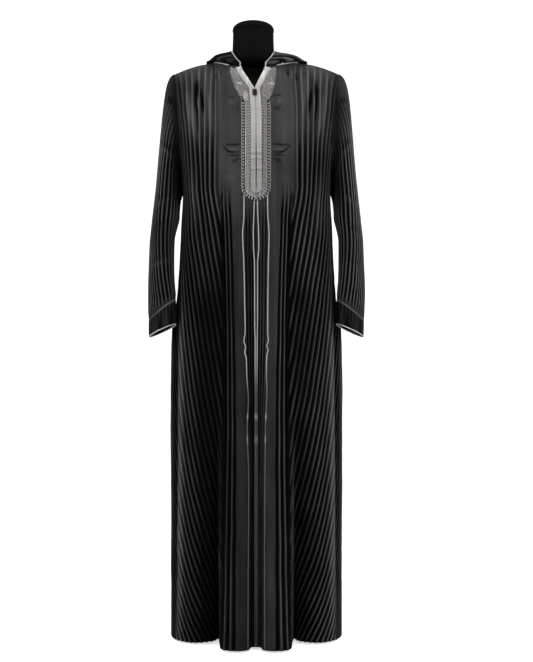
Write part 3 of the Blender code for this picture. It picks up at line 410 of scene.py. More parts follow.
def cloth_at(s, h, back):
    """The smooth cloth: h is the height up to the underarm, then a share of the yoke."""
    s, h = np.broadcast_arrays(np.asarray(s, float), np.asarray(h, float))
    low = np.minimum(h, UNDERARM)
    xy = section_xy(s, low, back)
    share = np.clip((h - UNDERARM) / YOKE_SPAN, 0, 1)
    top = top_of(s, back)
    full = np.radians(top[..., 3])
    angle = full * share
    x = xy[..., 0] + (top[..., 0] - xy[..., 0]) * share**1.25
    y = xy[..., 1] + (top[..., 1] - xy[..., 1]) * (1 - np.cos(angle)) / (1 - np.cos(full))
    z = low + (top[..., 2] - UNDERARM) * np.sin(angle) / np.sin(full)
    return np.stack([x, y, z], axis=-1)


def unit(vectors):
    return vectors / np.maximum(np.linalg.norm(vectors, axis=-1, keepdims=True), 1e-9)


def cloth_normal(s, h, back):
    """The way the smooth cloth faces, outwards."""
    s, h = np.broadcast_arrays(np.asarray(s, float), np.asarray(h, float))
    sign = -1.0 if back else 1.0
    along = cloth_at(s + 2, h, back) - cloth_at(s - 2, h, back)
    low = np.maximum(h - 3, HEM_HEIGHT)
    high = np.minimum(h + 3, UNDERARM + YOKE_SPAN)
    up = cloth_at(s, high, back) - cloth_at(s, low, back)
    normal = np.cross(along, up) * sign
    normal[..., 0] = np.where(s <= 1.0, 0.0, normal[..., 0])
    normal = unit(normal)
    foot = section_xy(s + 2, UNDERARM, back) - section_xy(s - 2, UNDERARM, back)
    level = unit(np.stack([foot[..., 1], -foot[..., 0], 0 * s], axis=-1) * sign)
    share = ease((top_of(s, back)[..., 2] - UNDERARM - 60) / 140)[..., None]
    steadied = unit(normal * share + level * (1 - share))
    return np.where(((h > UNDERARM) & (s > ARM_START))[..., None], steadied, normal)


def height_share(s, z, back):
    """The h whose point lies at height z on the line s."""
    s, z = np.broadcast_arrays(np.asarray(s, float), np.asarray(z, float))
    low = np.full(s.shape, UNDERARM)
    high = low + YOKE_SPAN
    for _ in range(24):
        middle = (low + high) / 2
        under = cloth_at(s, middle, back)[..., 2] < z
        low = np.where(under, middle, low)
        high = np.where(under, high, middle)
    return np.where(z <= UNDERARM, z, (low + high) / 2)


print("shoulder point", cloth_at(ARM_START, UNDERARM + YOKE_SPAN, False).round(1))

# %% [markdown]
# Hundreds of pleats, seams and cords share a few needs: a mesh from a grid of points, a point
# attribute or UV map in real sizes for the materials to read, and one place where millimetres
# become metres. The neck of the form stands a few millimetres to the left of the hem's middle,
# so the last helper leans everything near the neck by the same smooth amount.
# %% Mesh helpers


def leaned(points):
    """Robe's frame in millimetres to the room's frame in metres."""
    points = np.asarray(points, float)
    share = ease((points[..., 2] - 1300) / 160) * (1 - ease((np.abs(points[..., 0]) - 60) / 70))
    shift = np.stack([NECK_SHIFT * share, np.full(share.shape, DEPTH_SHIFT), 0 * share], axis=-1)
    return (points + shift) * MM


def grid_faces(columns, rows, closed=False):
    """Quads of a grid whose points run column by column, each column from the bottom up."""
    last = columns if closed else columns - 1
    i, j = np.meshgrid(np.arange(last), np.arange(rows - 1), indexing="ij")
    a = i * rows + j
    b = (i + 1) % columns * rows + j
    return np.stack([a, b, b + 1, a + 1], axis=-1).reshape(-1, 4)


def new_mesh(name, places, faces):
    mesh = bpy.data.meshes.new(name)
    places = np.asarray(places, float).reshape(-1, 3)
    faces = np.asarray(faces)
    mesh.vertices.add(len(places))
    mesh.vertices.foreach_set("co", places.ravel())
    mesh.loops.add(faces.size)
    mesh.loops.foreach_set("vertex_index", faces.ravel())
    mesh.polygons.add(len(faces))
    mesh.polygons.foreach_set("loop_start", np.arange(len(faces)) * faces.shape[1])
    mesh.update(calc_edges=True)
    return mesh


def add_point_values(mesh, values):
    for key, value in values.items():
        layer = mesh.attributes.new(key, "FLOAT", "POINT")
        layer.data.foreach_set("value", np.asarray(value, float).ravel())


def add_uv(mesh, u, v):
    """A UV map in metres, from a value at each point."""
    index = np.empty(len(mesh.loops), int)
    mesh.loops.foreach_get("vertex_index", index)
    layer = mesh.uv_layers.new(name="cloth")
    pairs = np.stack([np.asarray(u, float).ravel()[index], np.asarray(v, float).ravel()[index]], axis=1)
    layer.data.foreach_set("uv", pairs.ravel())


def finish_piece(name, mesh, finish, wall=0.0, weld=0.00005):
    """Weld the mesh, give it a wall and its material, and hang it on its body."""
    work = bmesh.new()
    work.from_mesh(mesh)
    if weld:
        bmesh.ops.remove_doubles(work, verts=work.verts, dist=weld)
        bmesh.ops.dissolve_degenerate(work, edges=work.edges, dist=weld / 5)
    loose = [vert for vert in work.verts if not vert.link_faces]
    bmesh.ops.delete(work, geom=loose, context="VERTS")
    work.to_mesh(mesh)
    work.free()
    mesh.shade_smooth()
    mesh.materials.append(finish)
    piece = bpy.data.objects.new(name, mesh)
    bpy.context.scene.collection.objects.link(piece)
    if wall:
        thick = piece.modifiers.new("cloth wall", "SOLIDIFY")
        thick.thickness = wall
        thick.offset = -1.0
        thick.use_even_offset = False
        thick.use_rim = True
    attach(piece, BODY)
    return piece


# %% [markdown]
# The cloth is a thin black satin, heat-set in pleats. Its warp threads run down the robe, so
# the sheen streaks along the pleats. Each piece carries painted light and shade: a painted
# highlight on the crests of its pleats, painted shade in their valleys, and broad stripes of
# both. Storage folds leave faint level lines. Threads and press lines come from the piece's
# own UV map, which is in metres, so they follow the cloth and keep their size everywhere.
# The weave is used by several materials, so it is one node group.
# %% Materials


def socket(group, name, kind, into, value=None):
    made = group.interface.new_socket(name=name, in_out="INPUT" if into else "OUTPUT", socket_type=kind)
    if value is not None:
        made.default_value = value
    return made


class NodeRow:
    """Adds nodes to a tree and links them in a line or two."""

    def __init__(self, tree):
        self.tree = tree

    def add(self, kind, **settings):
        node = self.tree.nodes.new(kind)
        for key, value in settings.items():
            setattr(node, key, value)
        return node

    def link(self, source, target):
        self.tree.links.new(source, target)

    def put(self, target, value):
        if hasattr(value, "is_output"):
            self.tree.links.new(value, target)
        else:
            target.default_value = value

    def maths(self, operation, *values, clamp=False):
        node = self.add("ShaderNodeMath", operation=operation, use_clamp=clamp)
        for i, value in enumerate(values):
            self.put(node.inputs[i], value)
        return node.outputs[0]

    def mix(self, factor, first, second):
        """A colour between two colours or sockets."""
        node = self.add("ShaderNodeMix", data_type="RGBA")
        for place, value in ((0, factor), (6, first), (7, second)):
            if isinstance(value, tuple):
                value = (*value, 1.0)
            self.put(node.inputs[place], value)
        return node.outputs[2]

    def noise(self, vector, scale, detail=2.0, **settings):
        node = self.add("ShaderNodeTexNoise", **settings)
        self.link(vector, node.inputs["Vector"])
        set_inputs(node, {"Scale": scale, "Detail": detail})
        return node.outputs[0]

    def point_value(self, name):
        return self.add("ShaderNodeAttribute", attribute_name=name).outputs["Fac"]

    def cloth_uv(self):
        """The two directions of the piece's own UV map, in metres."""
        uv = self.add("ShaderNodeUVMap", uv_map="cloth")
        parts = self.add("ShaderNodeSeparateXYZ")
        self.link(uv.outputs[0], parts.inputs[0])
        return parts.outputs[0], parts.outputs[1]

    def span(self, value, low, high, to_low=0.0, to_high=1.0):
        node = self.add("ShaderNodeMapRange")
        for place, given in enumerate((value, low, high, to_low, to_high)):
            self.put(node.inputs[place], given)
        return node.outputs[0]


def make_weave_group():
    """Fine crossed threads: a height for the bump and a mask of pale threads."""
    group = bpy.data.node_groups.new("fine weave", "ShaderNodeTree")
    socket(group, "Warp per metre", "NodeSocketFloat", True, 900.0)
    socket(group, "Weft per metre", "NodeSocketFloat", True, 420.0)
    socket(group, "Unevenness", "NodeSocketFloat", True, 0.5)
    socket(group, "Height", "NodeSocketFloat", False)
    socket(group, "Pale threads", "NodeSocketFloat", False)
    row = NodeRow(group)
    given = row.add("NodeGroupInput")
    result = row.add("NodeGroupOutput")
    warp, weft, unevenness = given.outputs[:3]
    u, v = row.cloth_uv()
    stretch = row.add("ShaderNodeCombineXYZ")
    row.link(row.maths("MULTIPLY", u, warp), stretch.inputs[0])
    row.link(row.maths("MULTIPLY", v, 6.0), stretch.inputs[1])
    streaks = row.noise(stretch.outputs[0], 1.0, noise_dimensions="2D")
    waves = []
    for place, count in ((u, warp), (v, weft)):
        turns = row.maths("MULTIPLY", row.maths("MULTIPLY", place, count), 2 * math.pi)
        waves.append(row.maths("SINE", turns))
    threads = row.maths("MULTIPLY_ADD", row.maths("MULTIPLY", *waves), 0.25, 0.5)
    uneven = row.maths("MULTIPLY", row.maths("SUBTRACT", streaks, 0.5), unevenness)
    row.link(row.maths("ADD", threads, uneven), result.inputs["Height"])
    row.link(row.span(streaks, 0.45, 0.75), result.inputs["Pale threads"])
    return group


WEAVE = make_weave_group()


def new_material(name):
    made = bpy.data.materials.new(name)
    made.use_nodes = True
    row = NodeRow(made.node_tree)
    return made, row, made.node_tree.nodes["Principled BSDF"]


def add_weave(row, warp, weft, unevenness):
    weave = row.add("ShaderNodeGroup", node_tree=WEAVE)
    set_inputs(weave, {"Warp per metre": warp, "Weft per metre": weft, "Unevenness": unevenness})
    return weave


def add_bump(row, shader, height, distance, strength, before=None):
    bump = row.add("ShaderNodeBump")
    set_inputs(bump, {"Distance": distance, "Strength": strength})
    row.link(height, bump.inputs["Height"])
    if before is not None:
        row.link(before, bump.inputs["Normal"])
    if shader is not None:
        row.link(bump.outputs[0], shader.inputs["Normal"])
    return bump.outputs[0]


def level_line(row, v, height, width):
    """One at a height on the cloth, falling to nothing a width away."""
    off = row.maths("ABSOLUTE", row.maths("SUBTRACT", v, height))
    return row.maths("SUBTRACT", 1.0, row.maths("DIVIDE", off, width), clamp=True)


HEM_STITCH = 0.041
PRESS_LINES = (1.075, 0.794, 0.545)
# The cloth's colour runs between these two: the dark end is also painted shade in the valleys, the pale end
# also a painted highlight on the crests.
CLOTH_DARK_AND_SHADED = (0.0006, 0.0006, 0.0006)
CLOTH_PALE_AND_HIGHLIGHT = (0.088, 0.086, 0.085)


def make_cloth_material():
    """Reads two point values: one from painted shade in a pleat's valley (0) to a painted highlight on its
    ridge (1), and a tone with painted light and shade (0.5 where the cloth is plain).
    """
    made, row, shader = new_material("black pleated satin")
    weave = add_weave(row, 1100.0, 520.0, 0.7)
    painted_sheen = row.point_value("painted_sheen")
    tone_and_painted_light = row.point_value("tone_and_painted_light")
    u, v = row.cloth_uv()
    patches = row.noise(row.add("ShaderNodeTexCoord").outputs["Object"], 9.0, 3.0)
    # Painted highlight on the crests and painted shade in the valleys, times broad painted light and shade,
    # random patches and pale threads.
    tone = row.maths("MULTIPLY", painted_sheen, row.span(patches, 0.3, 0.7, 0.70, 1.05))
    tone = row.maths("MULTIPLY", tone, row.maths("MULTIPLY", tone_and_painted_light, 2.0))
    threads = row.maths("MULTIPLY_ADD", weave.outputs["Pale threads"], 0.35, 0.85)
    tone = row.maths("MULTIPLY", tone, threads, clamp=True)
    row.link(row.mix(tone, CLOTH_DARK_AND_SHADED, CLOTH_PALE_AND_HIGHLIGHT), shader.inputs["Base Color"])
    row.link(row.span(painted_sheen, 0.0, 1.0, 0.70, 0.40), shader.inputs["Roughness"])
    shader.inputs["Specular IOR Level"].default_value = 0.02
    fine = add_bump(row, None, weave.outputs["Height"], 0.00010, 0.6)
    lines = None
    for height in PRESS_LINES:
        line = level_line(row, v, height, 0.0035)
        lines = line if lines is None else row.maths("ADD", lines, line)
    stitches = row.maths("GREATER_THAN", row.maths("SINE", row.maths("MULTIPLY", u, 2600.0)), -0.2)
    stitch_line = row.maths("MULTIPLY", level_line(row, v, HEM_STITCH, 0.0012), stitches)
    lines = row.maths("MULTIPLY_ADD", lines, 0.35, row.maths("MULTIPLY", stitch_line, -1.0))
    add_bump(row, shader, lines, 0.0006, 0.7, before=fine)
    return made


def make_plain_material(name, colour, roughness, metallic, specular, grain, depth):
    """A material with a fine grain in object space, for what isn't woven cloth."""
    made, row, shader = new_material(name)
    place = row.add("ShaderNodeTexCoord").outputs["Object"]
    fine = row.noise(place, grain, 3.0)
    broad = row.noise(place, grain / 25)
    darker = tuple(value * 0.7 for value in colour)
    row.link(row.mix(broad, darker, colour), shader.inputs["Base Color"])
    rough = row.span(fine, 0.2, 0.8, roughness - 0.08, roughness + 0.08)
    row.link(rough, shader.inputs["Roughness"])
    set_inputs(shader, {"Metallic": metallic, "Specular IOR Level": specular})
    add_bump(row, shader, fine, depth, 0.8)
    return made


CLOTH_FINISH = make_cloth_material()
JERSEY_FINISH = make_plain_material("matte black jersey", (0.0036, 0.0035, 0.0032),
                                    0.85, 0.0, 0.04, 1400.0, 0.00012)
STEEL_FINISH = make_plain_material("satin black paint", (0.016, 0.016, 0.016), 0.42, 0.0, 0.4, 700.0, 0.00005)
BRONZE_FINISH = make_plain_material("darkened brass", (0.052, 0.044, 0.037), 0.26, 0.8, 0.5, 1500.0, 0.00004)


def make_woven_material(name, dark, pale, warp, weft, roughness, metallic, specular, depth):
    """Cloth whose threads show in the colour too, such as satin ribbon or metallic braid."""
    made, row, shader = new_material(name)
    weave = add_weave(row, warp, weft, 0.8)
    tone_and_painted_light = row.point_value("tone_and_painted_light")
    threads = row.maths("MULTIPLY_ADD", weave.outputs["Height"], 0.5, 0.55)
    threads = row.maths("MULTIPLY_ADD", weave.outputs["Pale threads"], 0.4, threads)
    # On the satin bands and the cords this value carries painted light and shade; on the lace it is the
    # pattern's own tone.
    tone = row.maths("MULTIPLY", tone_and_painted_light, threads, clamp=True)
    row.link(row.mix(tone, dark, pale), shader.inputs["Base Color"])
    set_inputs(shader, {"Roughness": roughness, "Metallic": metallic, "Specular IOR Level": specular})
    add_bump(row, shader, weave.outputs["Height"], depth, 0.7)
    return made


SATIN_FINISH = make_woven_material("pale grey satin", (0.13, 0.127, 0.123), (0.50, 0.488, 0.472),
                                   500.0, 1400.0, 0.38, 0.15, 0.35, 0.00010)
LACE_FINISH = make_woven_material("tarnished silver braid", (0.006, 0.0058, 0.0056), (0.43, 0.42, 0.41),
                                  700.0, 700.0, 0.42, 0.30, 0.10, 0.00020)
CORD_FINISH = make_woven_material("silver grey cord", (0.040, 0.039, 0.037), (0.70, 0.68, 0.65),
                                  1500.0, 300.0, 0.40, 0.30, 0.25, 0.00015)
print("materials:", len(bpy.data.materials))

# %% [markdown]
# Each body panel is one sheet of pleats. On the real robe the pleats are set in the flat cloth
# before it is cut, so they run parallel down the cloth and slant only where the big folds
# draw it in. Half a pleat has four columns in front and three behind. Rows are about 12 mm
# apart in the skirt, 8 mm above the underarm, and 2 mm where level creases cross the chest.
# A pleat is a narrow ridge in a wide valley, as deep as the solid's, unevenly strong and a
# little wandering, and fades at seams and in the smooth bib.
# %% Pleats and creases
YOKE_TOP = UNDERARM + YOKE_SPAN
CLOTH_WALL = 0.0011
SHOULDER_PITCH = 6.93
GORE_LOWEST = 29.0
STRIP_IN, STRIP_OUT, SLANT_EDGE = 32.0, 62.0, 90.0
# By height, how far from the centre line the smooth strip starts and ends and the slanting
# pleats of the side start.
FrontLine = namedtuple("FrontLine", "height strip_in strip_out slant_edge")
FRONT_LINES = (FrontLine(5, 10, 44, 85), FrontLine(300, 10, 45, 81), FrontLine(560, 20, 46, 78),
               FrontLine(800, 29, 51, 79), FrontLine(1000, 32, 57, 84), FrontLine(1128, 32, 62, 90))


def even_columns(start, end, pitch=COLUMN_PITCH):
    count = max(1, round((end - start) / pitch))
    return [start + (end - start) * i / count for i in range(1, count + 1)]


def panel_lines(back):
    """The s of every fold line, the side gore's pleats included."""
    shoulder_start, shoulder_end = SHOULDER_SEAM[0].s, SHOULDER_SEAM[-1].s
    underarm = float(side_length(UNDERARM, back))
    if back:
        lines = [0.0] + even_columns(0.0, shoulder_start)
    else:
        lines = [SEAM_GAP / 2, 4.0, 8.0, 12.0, 16.0, 20.0, 24.0, 28.0, STRIP_IN,
                 38.0, 44.0, 50.0, 56.0, STRIP_OUT]
        lines += even_columns(STRIP_OUT, SLANT_EDGE, 4.7) + even_columns(SLANT_EDGE, shoulder_start)
    lines += even_columns(shoulder_start, shoulder_end, SHOULDER_PITCH)
    lines += even_columns(shoulder_end, underarm)
    widest = float(side_length(GORE_LOWEST, back))
    return lines + even_columns(underarm, widest if back else widest + float(slant_shift(GORE_LOWEST)))


def slant_shift(h):
    """How far the slanting pleats have moved towards the centre at a height."""
    fall = UNDERARM - np.asarray(h, float)
    low = np.maximum(fall, 0)
    return 0.13 * low + 0.00005 * low**2


def s_of_x(x, h):
    """The s at which the front's cloth first stands this far from the centre line."""
    s = np.arange(0.0, 140.0)
    reach = np.maximum.accumulate(cloth_at(s, np.full(len(s), float(h)), False)[:, 0])
    return float(np.interp(x, reach + s * 1e-6, s))


def seen_from_front(reach, edge, level):
    """The s that is this far out from the edge, where steep cloth near the edge counts for less."""
    s = edge + np.arange(0.0, 640.0, 1.5)
    x = cloth_at(s, np.full(len(s), float(level)), False)[:, 0]
    near = 0.7 * (1 - ease((s[1:] - edge - 70) / 60)) * (1 - ease((level - 1000) / 100))
    steps = (1 - near) * 1.5 + near * np.maximum(np.diff(x), 0.4)
    return np.interp(reach, np.concatenate([[0.0], np.cumsum(steps)]), s)


def front_columns(s, h):
    """Each column's s at each height: the strip leans inwards and the outer pleats slant."""
    table = np.array(FRONT_LINES, float)
    marks_x = passing_through(table[:, 0], table[:, 1:])(np.clip(h, table[0, 0], UNDERARM))
    found, edges = [], []
    for height, row in zip(h, marks_x):
        level = min(height, UNDERARM)
        whole = float(ease((height - 1050) / 70))
        start, end, edge = (s_of_x(x, level) * (1 - whole) + top * whole
                            for x, top in zip(row, (STRIP_IN, STRIP_OUT, SLANT_EDGE)))
        inner = np.interp(s, (0, STRIP_IN, STRIP_OUT, SLANT_EDGE), (0, start, end, edge))
        spread = 0.13 * np.clip(height - UNDERARM, 0, 150) * ease((s - 100) / 100)
        outer = seen_from_front(np.maximum(s - SLANT_EDGE - slant_shift(level) + spread, 0), edge, level)
        found.append(np.where(s <= SLANT_EDGE, inner, outer))
        edges.append(edge)
    return np.array(found).T, np.array(edges)


def pleat_strength(s, column_s, edge, h, z, back):
    """How deep the pleats are: flat at seams and in the bib, full in the skirt."""
    strength = np.ones(np.broadcast(s, h).shape)
    if not back:
        low = 1 - ease((z - 1040) / 60)
        middle = 0.8 * ease((s - 1) / 3) * low
        strength = np.where(column_s < STRIP_OUT + 1, 0, strength)
        strength = np.where(column_s < STRIP_IN, middle, strength)
        bib = 1 - ease((s - 88) / 22)
        strength = strength * (1 - bib * ease((z - 1060) / 90))
        strength = strength * (1 - low + low * np.where(column_s < SLANT_EDGE, 1, ease((s - edge) / 6)))
    near_side = ease((s - side_length(UNDERARM, back) + 45) / 25)
    strength = strength * (1 - near_side * ease((z - 1040) / 70))
    above = h > UNDERARM
    top_z = top_of(s, back)[..., 2]
    fade = ease((YOKE_TOP - h) / 90) * (top_z >= UNDERARM + 60)
    strength = np.where(above, strength * fade, strength)
    return strength * ease((side_length(np.minimum(h, UNDERARM), back) - s) / 8)


def wander(a, b, seed):
    """A smooth uneven value between about -1 and 1 over two lengths in millimetres."""
    value = np.zeros(np.broadcast(a, b).shape)
    for k, (across, down) in enumerate(((37.0, 410.0), (19.0, 173.0), (61.0, 97.0))):
        turn = seed * 1.7 + k * 2.3
        first = np.sin(a / across * 2 + b / down * 3 + turn)
        value = value + first * np.cos(a / across - b / down * 2 + turn * 2)
    return value / 2


Crease = namedtuple("Crease", "width depth path")
# Creases as (x, z) paths on the cloth, seen from the front or from behind; a negative depth
# is a trough. Both sides of the robe have their own.
FRONT_CREASES = (
    Crease(7, -5.0, ((-148, 1426), (-151, 1404), (-146, 1380), (-137, 1349), (-135, 1318))),
    Crease(6, 3.0, ((-182, 1402), (-172, 1345), (-160, 1292), (-152, 1250))),
    Crease(5, -2.6, ((-160, 1412), (-158, 1370), (-149, 1322), (-144, 1270))),
    Crease(6, 2.4, ((-125, 1430), (-124, 1380), (-116, 1320), (-112, 1250))),
    Crease(6, -3.0, ((-96, 1437), (-99, 1425), (-101, 1411))),
    Crease(4, 2.2, ((-90, 1440), (-92, 1427), (-93, 1415))),
    Crease(4, -2.0, ((-84, 1441), (-85, 1430), (-86, 1419))),
    Crease(2.2, -1.1, ((-50, 1355), (-58, 1357), (-69, 1360))),
    Crease(2.0, 1.0, ((-40, 1352), (-52, 1349), (-66, 1348))),
    Crease(2.4, -1.0, ((-40, 1324), (-54, 1325), (-70, 1329))),
    Crease(2.2, -1.6, ((-36, 1233), (-56, 1232), (-77, 1234))),
    Crease(2.2, -1.9, ((-38, 1214), (-56, 1213), (-69, 1216), (-76, 1222), (-84, 1232))),
    Crease(2.2, 1.4, ((-38, 1219), (-58, 1220), (-70, 1224))),
    Crease(2.2, -1.3, ((-36, 1206), (-52, 1204), (-72, 1207))),
    Crease(2.2, -1.2, ((-36, 1198), (-52, 1193), (-70, 1190))),
    Crease(2.6, 1.1, ((-40, 1160), (-60, 1152), (-82, 1154))),
    Crease(2.2, -1.2, ((-80, 1112), (-88, 1096), (-90, 1080))),
    Crease(7, -8.0, ((-201, 30), (-202, 300), (-201, 600), (-199, 880))),
    Crease(7, 3.5, ((-187, 40), (-188, 320), (-188, 640), (-187, 900))),
    Crease(9, -2.4, ((-150, 1240), (-143, 1160), (-134, 1080), (-128, 980))),
    Crease(7, 2.2, ((-166, 1200), (-158, 1120), (-150, 1020))),
    Crease(7, -4.6, ((146, 1428), (149, 1402), (143, 1374), (135, 1346), (131, 1312))),
    Crease(6, 2.8, ((181, 1405), (173, 1350), (162, 1296), (155, 1258))),
    Crease(5, -2.4, ((162, 1414), (157, 1372), (151, 1330), (142, 1262))),
    Crease(6, 2.0, ((122, 1432), (121, 1384), (117, 1330), (110, 1240))),
    Crease(6, -2.8, ((99, 1436), (101, 1424), (104, 1408))),
    Crease(4, 2.0, ((93, 1440), (94, 1428), (96, 1414))),
    Crease(4, -2.2, ((86, 1442), (86, 1430), (88, 1420))),
    Crease(2.2, -1.2, ((40, 1358), (54, 1362), (72, 1368))),
    Crease(2.0, 1.1, ((42, 1350), (56, 1347), (74, 1350))),
    Crease(2.4, -1.0, ((40, 1326), (58, 1328), (74, 1324))),
    Crease(2.2, -1.7, ((38, 1234), (60, 1233), (84, 1232))),
    Crease(2.2, -1.9, ((38, 1214), (54, 1213), (66, 1215), (74, 1221), (86, 1232))),
    Crease(2.2, 1.3, ((38, 1219), (56, 1221), (68, 1223))),
    Crease(2.2, -1.3, ((36, 1205), (54, 1206), (76, 1204))),
    Crease(2.2, -1.3, ((36, 1197), (52, 1194), (74, 1188))),
    Crease(2.6, 1.0, ((40, 1158), (62, 1154), (84, 1150))),
    Crease(2.2, -1.3, ((82, 1114), (89, 1098), (90, 1082))),
    Crease(7, -8.0, ((202, 30), (203, 320), (201, 620), (199, 900))),
    Crease(7, 3.5, ((189, 40), (190, 340), (189, 660), (188, 920))),
    Crease(9, -2.6, ((152, 1250), (144, 1170), (137, 1090), (127, 960))),
    Crease(7, 2.0, ((168, 1190), (157, 1110), (152, 1010))),
)
BACK_CREASES = (
    Crease(8, -4.5, ((-150, 1420), (-146, 1360), (-134, 1290))),
    Crease(8, -4.2, ((148, 1422), (147, 1352), (131, 1280))),
    Crease(7, 2.4, ((-126, 1400), (-120, 1330), (-110, 1250))),
    Crease(7, 2.2, ((122, 1404), (119, 1340), (112, 1244))),
    Crease(9, -2.6, ((-172, 1330), (-162, 1240), (-150, 1150), (-140, 1040))),
    Crease(9, -2.4, ((170, 1320), (164, 1236), (152, 1140), (138, 1030))),
    Crease(12, -3.0, ((-40, 1180), (-30, 1120), (-44, 1040))),
    Crease(12, -2.8, ((46, 1170), (34, 1100), (40, 1020))),
    Crease(8, 2.0, ((-96, 1120), (-40, 1104), (20, 1110))),
    Crease(8, -1.8, ((-84, 1098), (-20, 1086), (50, 1094))),
)


def crease_effect(x, z, creases, side):
    """How far one side's given creases lift the cloth at (x, z), and how much painted light and shade they
    add.
    """
    rise = np.zeros(np.broadcast(x, z).shape)
    shade = np.zeros(rise.shape)
    for crease in creases:
        path = np.array(crease.path, float)
        if path[:, 0].mean() * side < 0:
            continue
        stops = np.linspace(0, len(path) - 1, 6 * len(path))
        smooth_path = passing_through(np.arange(len(path)), path)(stops)
        near = np.full(rise.shape, 1e9)
        along = np.zeros(rise.shape)
        for i, ((ax, az), (bx, bz)) in enumerate(zip(smooth_path[:-1], smooth_path[1:])):
            length = (bx - ax)**2 + (bz - az)**2
            t = np.clip(((x - ax) * (bx - ax) + (z - az) * (bz - az)) / max(length, 1e-9), 0, 1)
            gap = np.hypot(x - ax - t * (bx - ax), z - az - t * (bz - az))
            along = np.where(gap < near, (i + t) / (len(smooth_path) - 1), along)
            near = np.minimum(near, gap)
        taper = np.sin(math.pi * np.clip(along, 0.02, 0.98)) ** 0.6
        fold = crease.depth * taper * np.exp(-(near / crease.width) ** 2)
        rise += fold
        # Painted light on a crease's ridge and painted shade in its trough.
        shade += fold * (0.55 / crease.width)
    return rise, shade


# Upright stripes of painted light and painted shade, from one height to another.
Shade = namedtuple("Shade", "x width low high amount")
PAINTED_LIGHT_AND_SHADE_STRIPES = (
    Shade(104, 30, -200, 960, -0.62), Shade(137, 22, -200, 900, -0.25), Shade(190, 8, -200, 1000, 1.1),
    Shade(206, 9, -200, 1000, -0.5), Shade(0, 9, -200, 760, -0.3), Shade(0, 24, -200, 1092, -0.32),
    Shade(30, 16, 20, 560, 0.12), Shade(150, 40, 1240, 1600, 0.55), Shade(170, 30, 1100, 1300, -0.35),
    Shade(70, 60, 1120, 1600, 0.30),
)
SUB_COLUMNS = {False: 4, True: 3}
HEM_ROWS = (5, 8, 13, 20, 28, 35, 38, 41, 44, 49, 58)
# Rows are close where level creases cross the chest.
YOKE_STOPS = (0, 50, 106, 186, 248, YOKE_SPAN)
YOKE_COUNTS = (6, 28, 10, 28, 6)


def panel_rows():
    """Heights up to the underarm, then lengths up the yoke."""
    rows = list(HEM_ROWS) + list(np.linspace(70, UNDERARM, 88))
    for (start, end), count in zip(zip(YOKE_STOPS[:-1], YOKE_STOPS[1:]), YOKE_COUNTS):
        rows += list(UNDERARM + np.linspace(start, end, count + 1)[1:])
    return np.array(rows)


def fine_lines(back):
    """The s of each grid column and its place among the fold lines."""
    lines = np.array(panel_lines(back))
    steps = SUB_COLUMNS[back]
    places = np.arange((len(lines) - 1) * steps + 1) / steps
    return np.interp(places, np.arange(len(lines)), lines), places


def panel_grid(back, side):
    """Points, normals and values of one half of the front or the back (side is 1 or -1)."""
    column_s, places = fine_lines(back)
    h = panel_rows()
    s, edge = (column_s[:, None], 0 * h) if back else front_columns(column_s, h)
    s = np.minimum(s, side_length(np.minimum(h, UNDERARM), back)[None, :] - SEAM_GAP / 2)
    h = np.broadcast_to(h, s.shape)
    column_s = np.broadcast_to(column_s[:, None], s.shape)
    base = cloth_at(s, h, back)
    normal = cloth_normal(s, h, back)
    x, z = base[..., 0] * side, base[..., 2]
    seed = 3.0 * side + (5.0 if back else 0.0)
    shifted = places[:, None] + 0.14 * wander(s * side, z, seed)
    wave = 0.5 - 0.5 * np.cos(math.pi * shifted)
    ridge = 2 * wave**2.4 - 1
    uneven = 1 + 0.30 * wander(s * side + 40, z, seed + 1.1)
    strength = pleat_strength(s, column_s, edge, h, z, back)
    rise = ridge * PLEAT_DEPTH * strength * uneven
    dark = 0 * s
    if not back:
        rise = rise - 2.0 * np.exp(-((s - edge) / 5) ** 2) * (1 - ease((z - 980) / 80))
        # The deep valley beside the slanting pleats is also painted darker: painted shade.
        dark = 0.5 * np.exp(-((s - edge) / 6) ** 2) * (1 - ease((z - 1020) / 60))
    at_top = ease((YOKE_TOP - h) / 40)
    creases, crease_shade = crease_effect(x, z, BACK_CREASES if back else FRONT_CREASES, side)
    rise = rise + creases * at_top * ease((side_length(np.minimum(h, UNDERARM), back) - s) / 25)
    points = base + normal * rise[..., None]
    if not back:
        by_seam = 1 - ease((s - 3) / 6) > 0.99
        points[..., 0] = np.where(by_seam, np.maximum(points[..., 0], SEAM_GAP / 2), points[..., 0])
    points[..., 0] *= side
    # The ridge, crease and dark values kept here feed the painted highlights and painted shade.
    return {"s": s, "h": h, "z": z, "points": points, "ridge": wave**6, "strength": strength,
            "creases": crease_shade * at_top, "dark": dark}


def panel_painted_sheen(made, side):
    """Painted highlight up to 1 on the ridges and painted shade near 0 in the valleys, with a painted sheen
    on the plain streaked cloth between.
    """
    s, z, strength = made["s"], made["z"], made["strength"]
    smooth = np.clip(1 - strength, 0, 1)
    streaks = 1 + 0.10 * np.sin(s * 1.05 + side + 0.004 * z) + 0.16 * wander(s * 3.1, z * 0.6, 4.0 + side)
    # The plain cloth's painted sheen, darker towards the bottom.
    plain = (0.27 + 0.08 * ease((z - 400) / 300) + 0.05 * ease((z - 1000) / 100)) * streaks
    high = ease((z - 1200) / 130)
    # High on the chest the ridges are painted less bright and the valleys lighter: a painted sheen.
    ridge_sheen = made["ridge"] * strength * (1 - 0.35 * high) + plain * smooth + 0.20 * high * (1 - smooth)
    # Creases add painted light and shade, and the deep valley's stripe adds painted shade.
    return np.clip(ridge_sheen + made["creases"] - made["dark"], 0, 1)


